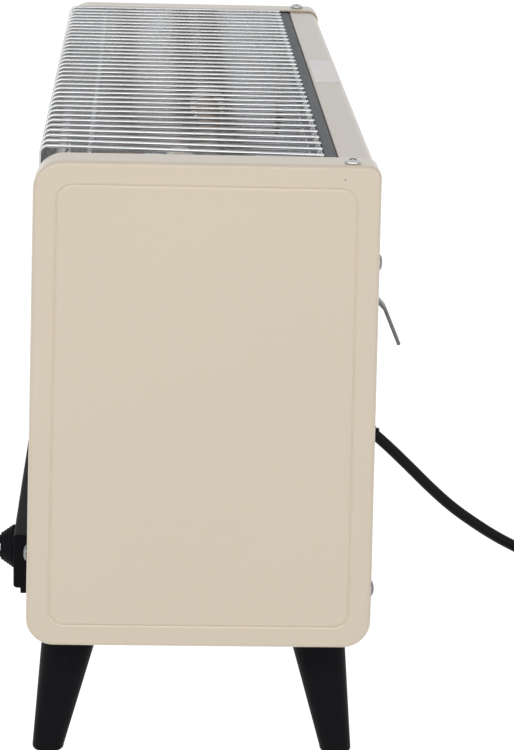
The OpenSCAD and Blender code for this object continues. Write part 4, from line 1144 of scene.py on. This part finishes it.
# Screws: one domed cross-head, copied to every place; a size is a diameter and a height
screws = {"slot": 1.1, "slotDepth": 0.55, "panelSize": (8.6, 2.2), "hookSize": (7.6, 2),
          "topX": 262.5, "topY": 72.7, "wallX": 259, "rearZ": (100, 278), "frontZ": 118,
          "hookX": 151, "hookZ": 254}


def screwHead(name, diameter, height):
    arc = [(height * (0.25 + 0.75 * math.sin(a)), diameter / 2 * math.cos(a))
           for a in [math.radians(15 * i) for i in range(6)]]
    profile = [(0, 0), (0, diameter / 2 - 0.3), *arc, (height, 0.0)]
    head = lathe(name, profile, (0, 0, 0), (0, 0, 1), 32)
    arm, width = diameter * 0.28, screws["slot"] / 2
    floor = height * (1 - screws["slotDepth"])
    cutters = [block("slotBar", (-arm, -width, floor), (arm, width, height + 1)),
               block("slotBar", (-width, -arm, floor), (width, arm, height + 1))]
    for cutter in cutters:
        cutAway(head, cutter)
    return head


def placed(head, place, axis, spin):
    turn = Vector((0, 0, 1)).rotation_difference(Vector(axis)).to_matrix()
    return copyOf(head, place, turn @ Matrix.Rotation(spin, 3, "Z"))


def addScrews(name, node, finish, size, places):
    head = screwHead(name, *size)
    copies = [placed(head, place, axis, 0.7 * i) for i, (place, axis) in enumerate(places)]
    bpy.data.objects.remove(head)
    return handIn(joined(name, copies), finish, [node], smooth=35)


def wallPlace(x, z, side, proud=0):  # a point on the leaning front or rear wall, and its normal
    normal = (0, side * math.cos(cabinet["lean"]), math.sin(cabinet["lean"]))
    return (x, side * (halfDepth(z) + proud), z), normal


def addAllScrews():
    topPlaces, wallPlaces, hookPlaces = [], [], []
    hookProud = hook["thickness"] - cabinet["sheet"] - cabinet["gap"]
    for sx in (-1, 1):
        topPlaces.append(((sx * screws["topX"], screws["topY"], cabinet["high"]), (0, 0, 1)))
        wallPlaces += [wallPlace(sx * screws["wallX"], z, 1) for z in screws["rearZ"]]
        wallPlaces.append(wallPlace(sx * screws["wallX"], screws["frontZ"], -1))
        hookPlaces.append(wallPlace(sx * screws["hookX"], screws["hookZ"], 1, hookProud))
    addScrews("topPanelScrews", "end_panel_screws", finishes["bright_steel"],
              screws["panelSize"], topPlaces)
    # the wall and hook screws take the darker steel, whose darkness is painted shade
    addScrews("wallPanelScrews", "end_panel_screws", shadedDullSteel, screws["panelSize"],
              wallPlaces)
    addScrews("hookScrews", "hook_screws", shadedDullSteel, screws["hookSize"], hookPlaces)


addAllScrews()
print("hooks and screws made")


# Blank label on the top strip
label = {"corner": 1.2, "cornerSteps": 5}


def addLabel():
    low, high = boxOf("blank_label")
    piece = block("blankLabel", low, high)
    openEdit(piece)
    roundEdges(piece, lambda co, edge: span(edge, 2) > 0.1, label["corner"],
               label["cornerSteps"])
    closeEdit()
    return supply(piece, "pale_label", ["blank_label"])


addLabel()
print("label made")

# Floor, world and lamps; a lamp has a place, two sizes in metres, as the floor's, and watts
studio = {"floorSize": 30, "floorGlow": 0.2, "floorSeen": 0.75, "world": 0.29,
          "over": ((1500, 0, 1450), (2.6, 0.35), 12), "front": ((2400, -700, 900), (1, 0.8), 3),
          "left": ((1100, -2000, 1200), (0.3, 1.6), 9),
          "right": ((1700, 1700, 900), (0.3, 1.6), 8), "aim": (0, 0, 200)}


def seenRay(root):  # 1 for rays of the camera, of gloss and of glass
    ray = root.tree.nodes.new("ShaderNodeLightPath")
    seen = [Sock(root.tree, ray.outputs[name])
            for name in ("Is Camera Ray", "Is Glossy Ray", "Is Transmission Ray")]
    return root.maths("MAXIMUM", seen[0], root.maths("MAXIMUM", seen[1], seen[2]))


def addFloor():
    deselect()
    bpy.ops.mesh.primitive_plane_add(size=studio["floorSize"])
    floor = bpy.context.object
    floor.name = "floor"
    material, shader, root = newFinish("FloorWhite", {
        "Base Color": (0.9, 0.9, 0.9, 1), "Roughness": 0.9, "Specular IOR Level": 0.1,
        "Emission Color": (1, 1, 1, 1)})
    glow = studio["floorSeen"] - studio["floorGlow"]
    root.plug(shader.inputs["Emission Strength"], studio["floorGlow"] + glow * seenRay(root))
    floor.data.materials.append(material)


def addSoftbox(name, spot, size, energy):
    bpy.ops.object.light_add(type="AREA", location=metres(*spot))
    lamp = bpy.context.object
    lamp.name = name
    lamp.data.shape = "RECTANGLE"
    lamp.data.size, lamp.data.size_y = size
    lamp.data.energy = energy
    towards = metres(*studio["aim"]) - lamp.location
    lamp.rotation_euler = towards.to_track_quat("-Z", "Y").to_euler()


def addWorld():
    world = bpy.data.worlds.new("Studio")
    bpy.context.scene.world = world
    world.use_nodes = True
    root = Sock(world.node_tree)
    background = world.node_tree.nodes["Background"]
    background.inputs["Color"].default_value = (1, 1, 1, 1)
    root.plug(background.inputs["Strength"],
              studio["world"] + seenRay(root) * (1 - studio["world"]))


addFloor()
for side in ("over", "front", "left", "right"):
    addSoftbox(side + "Light", *studio[side])
addWorld()
bpy.context.scene.view_settings.view_transform = "Standard"
print("studio set")
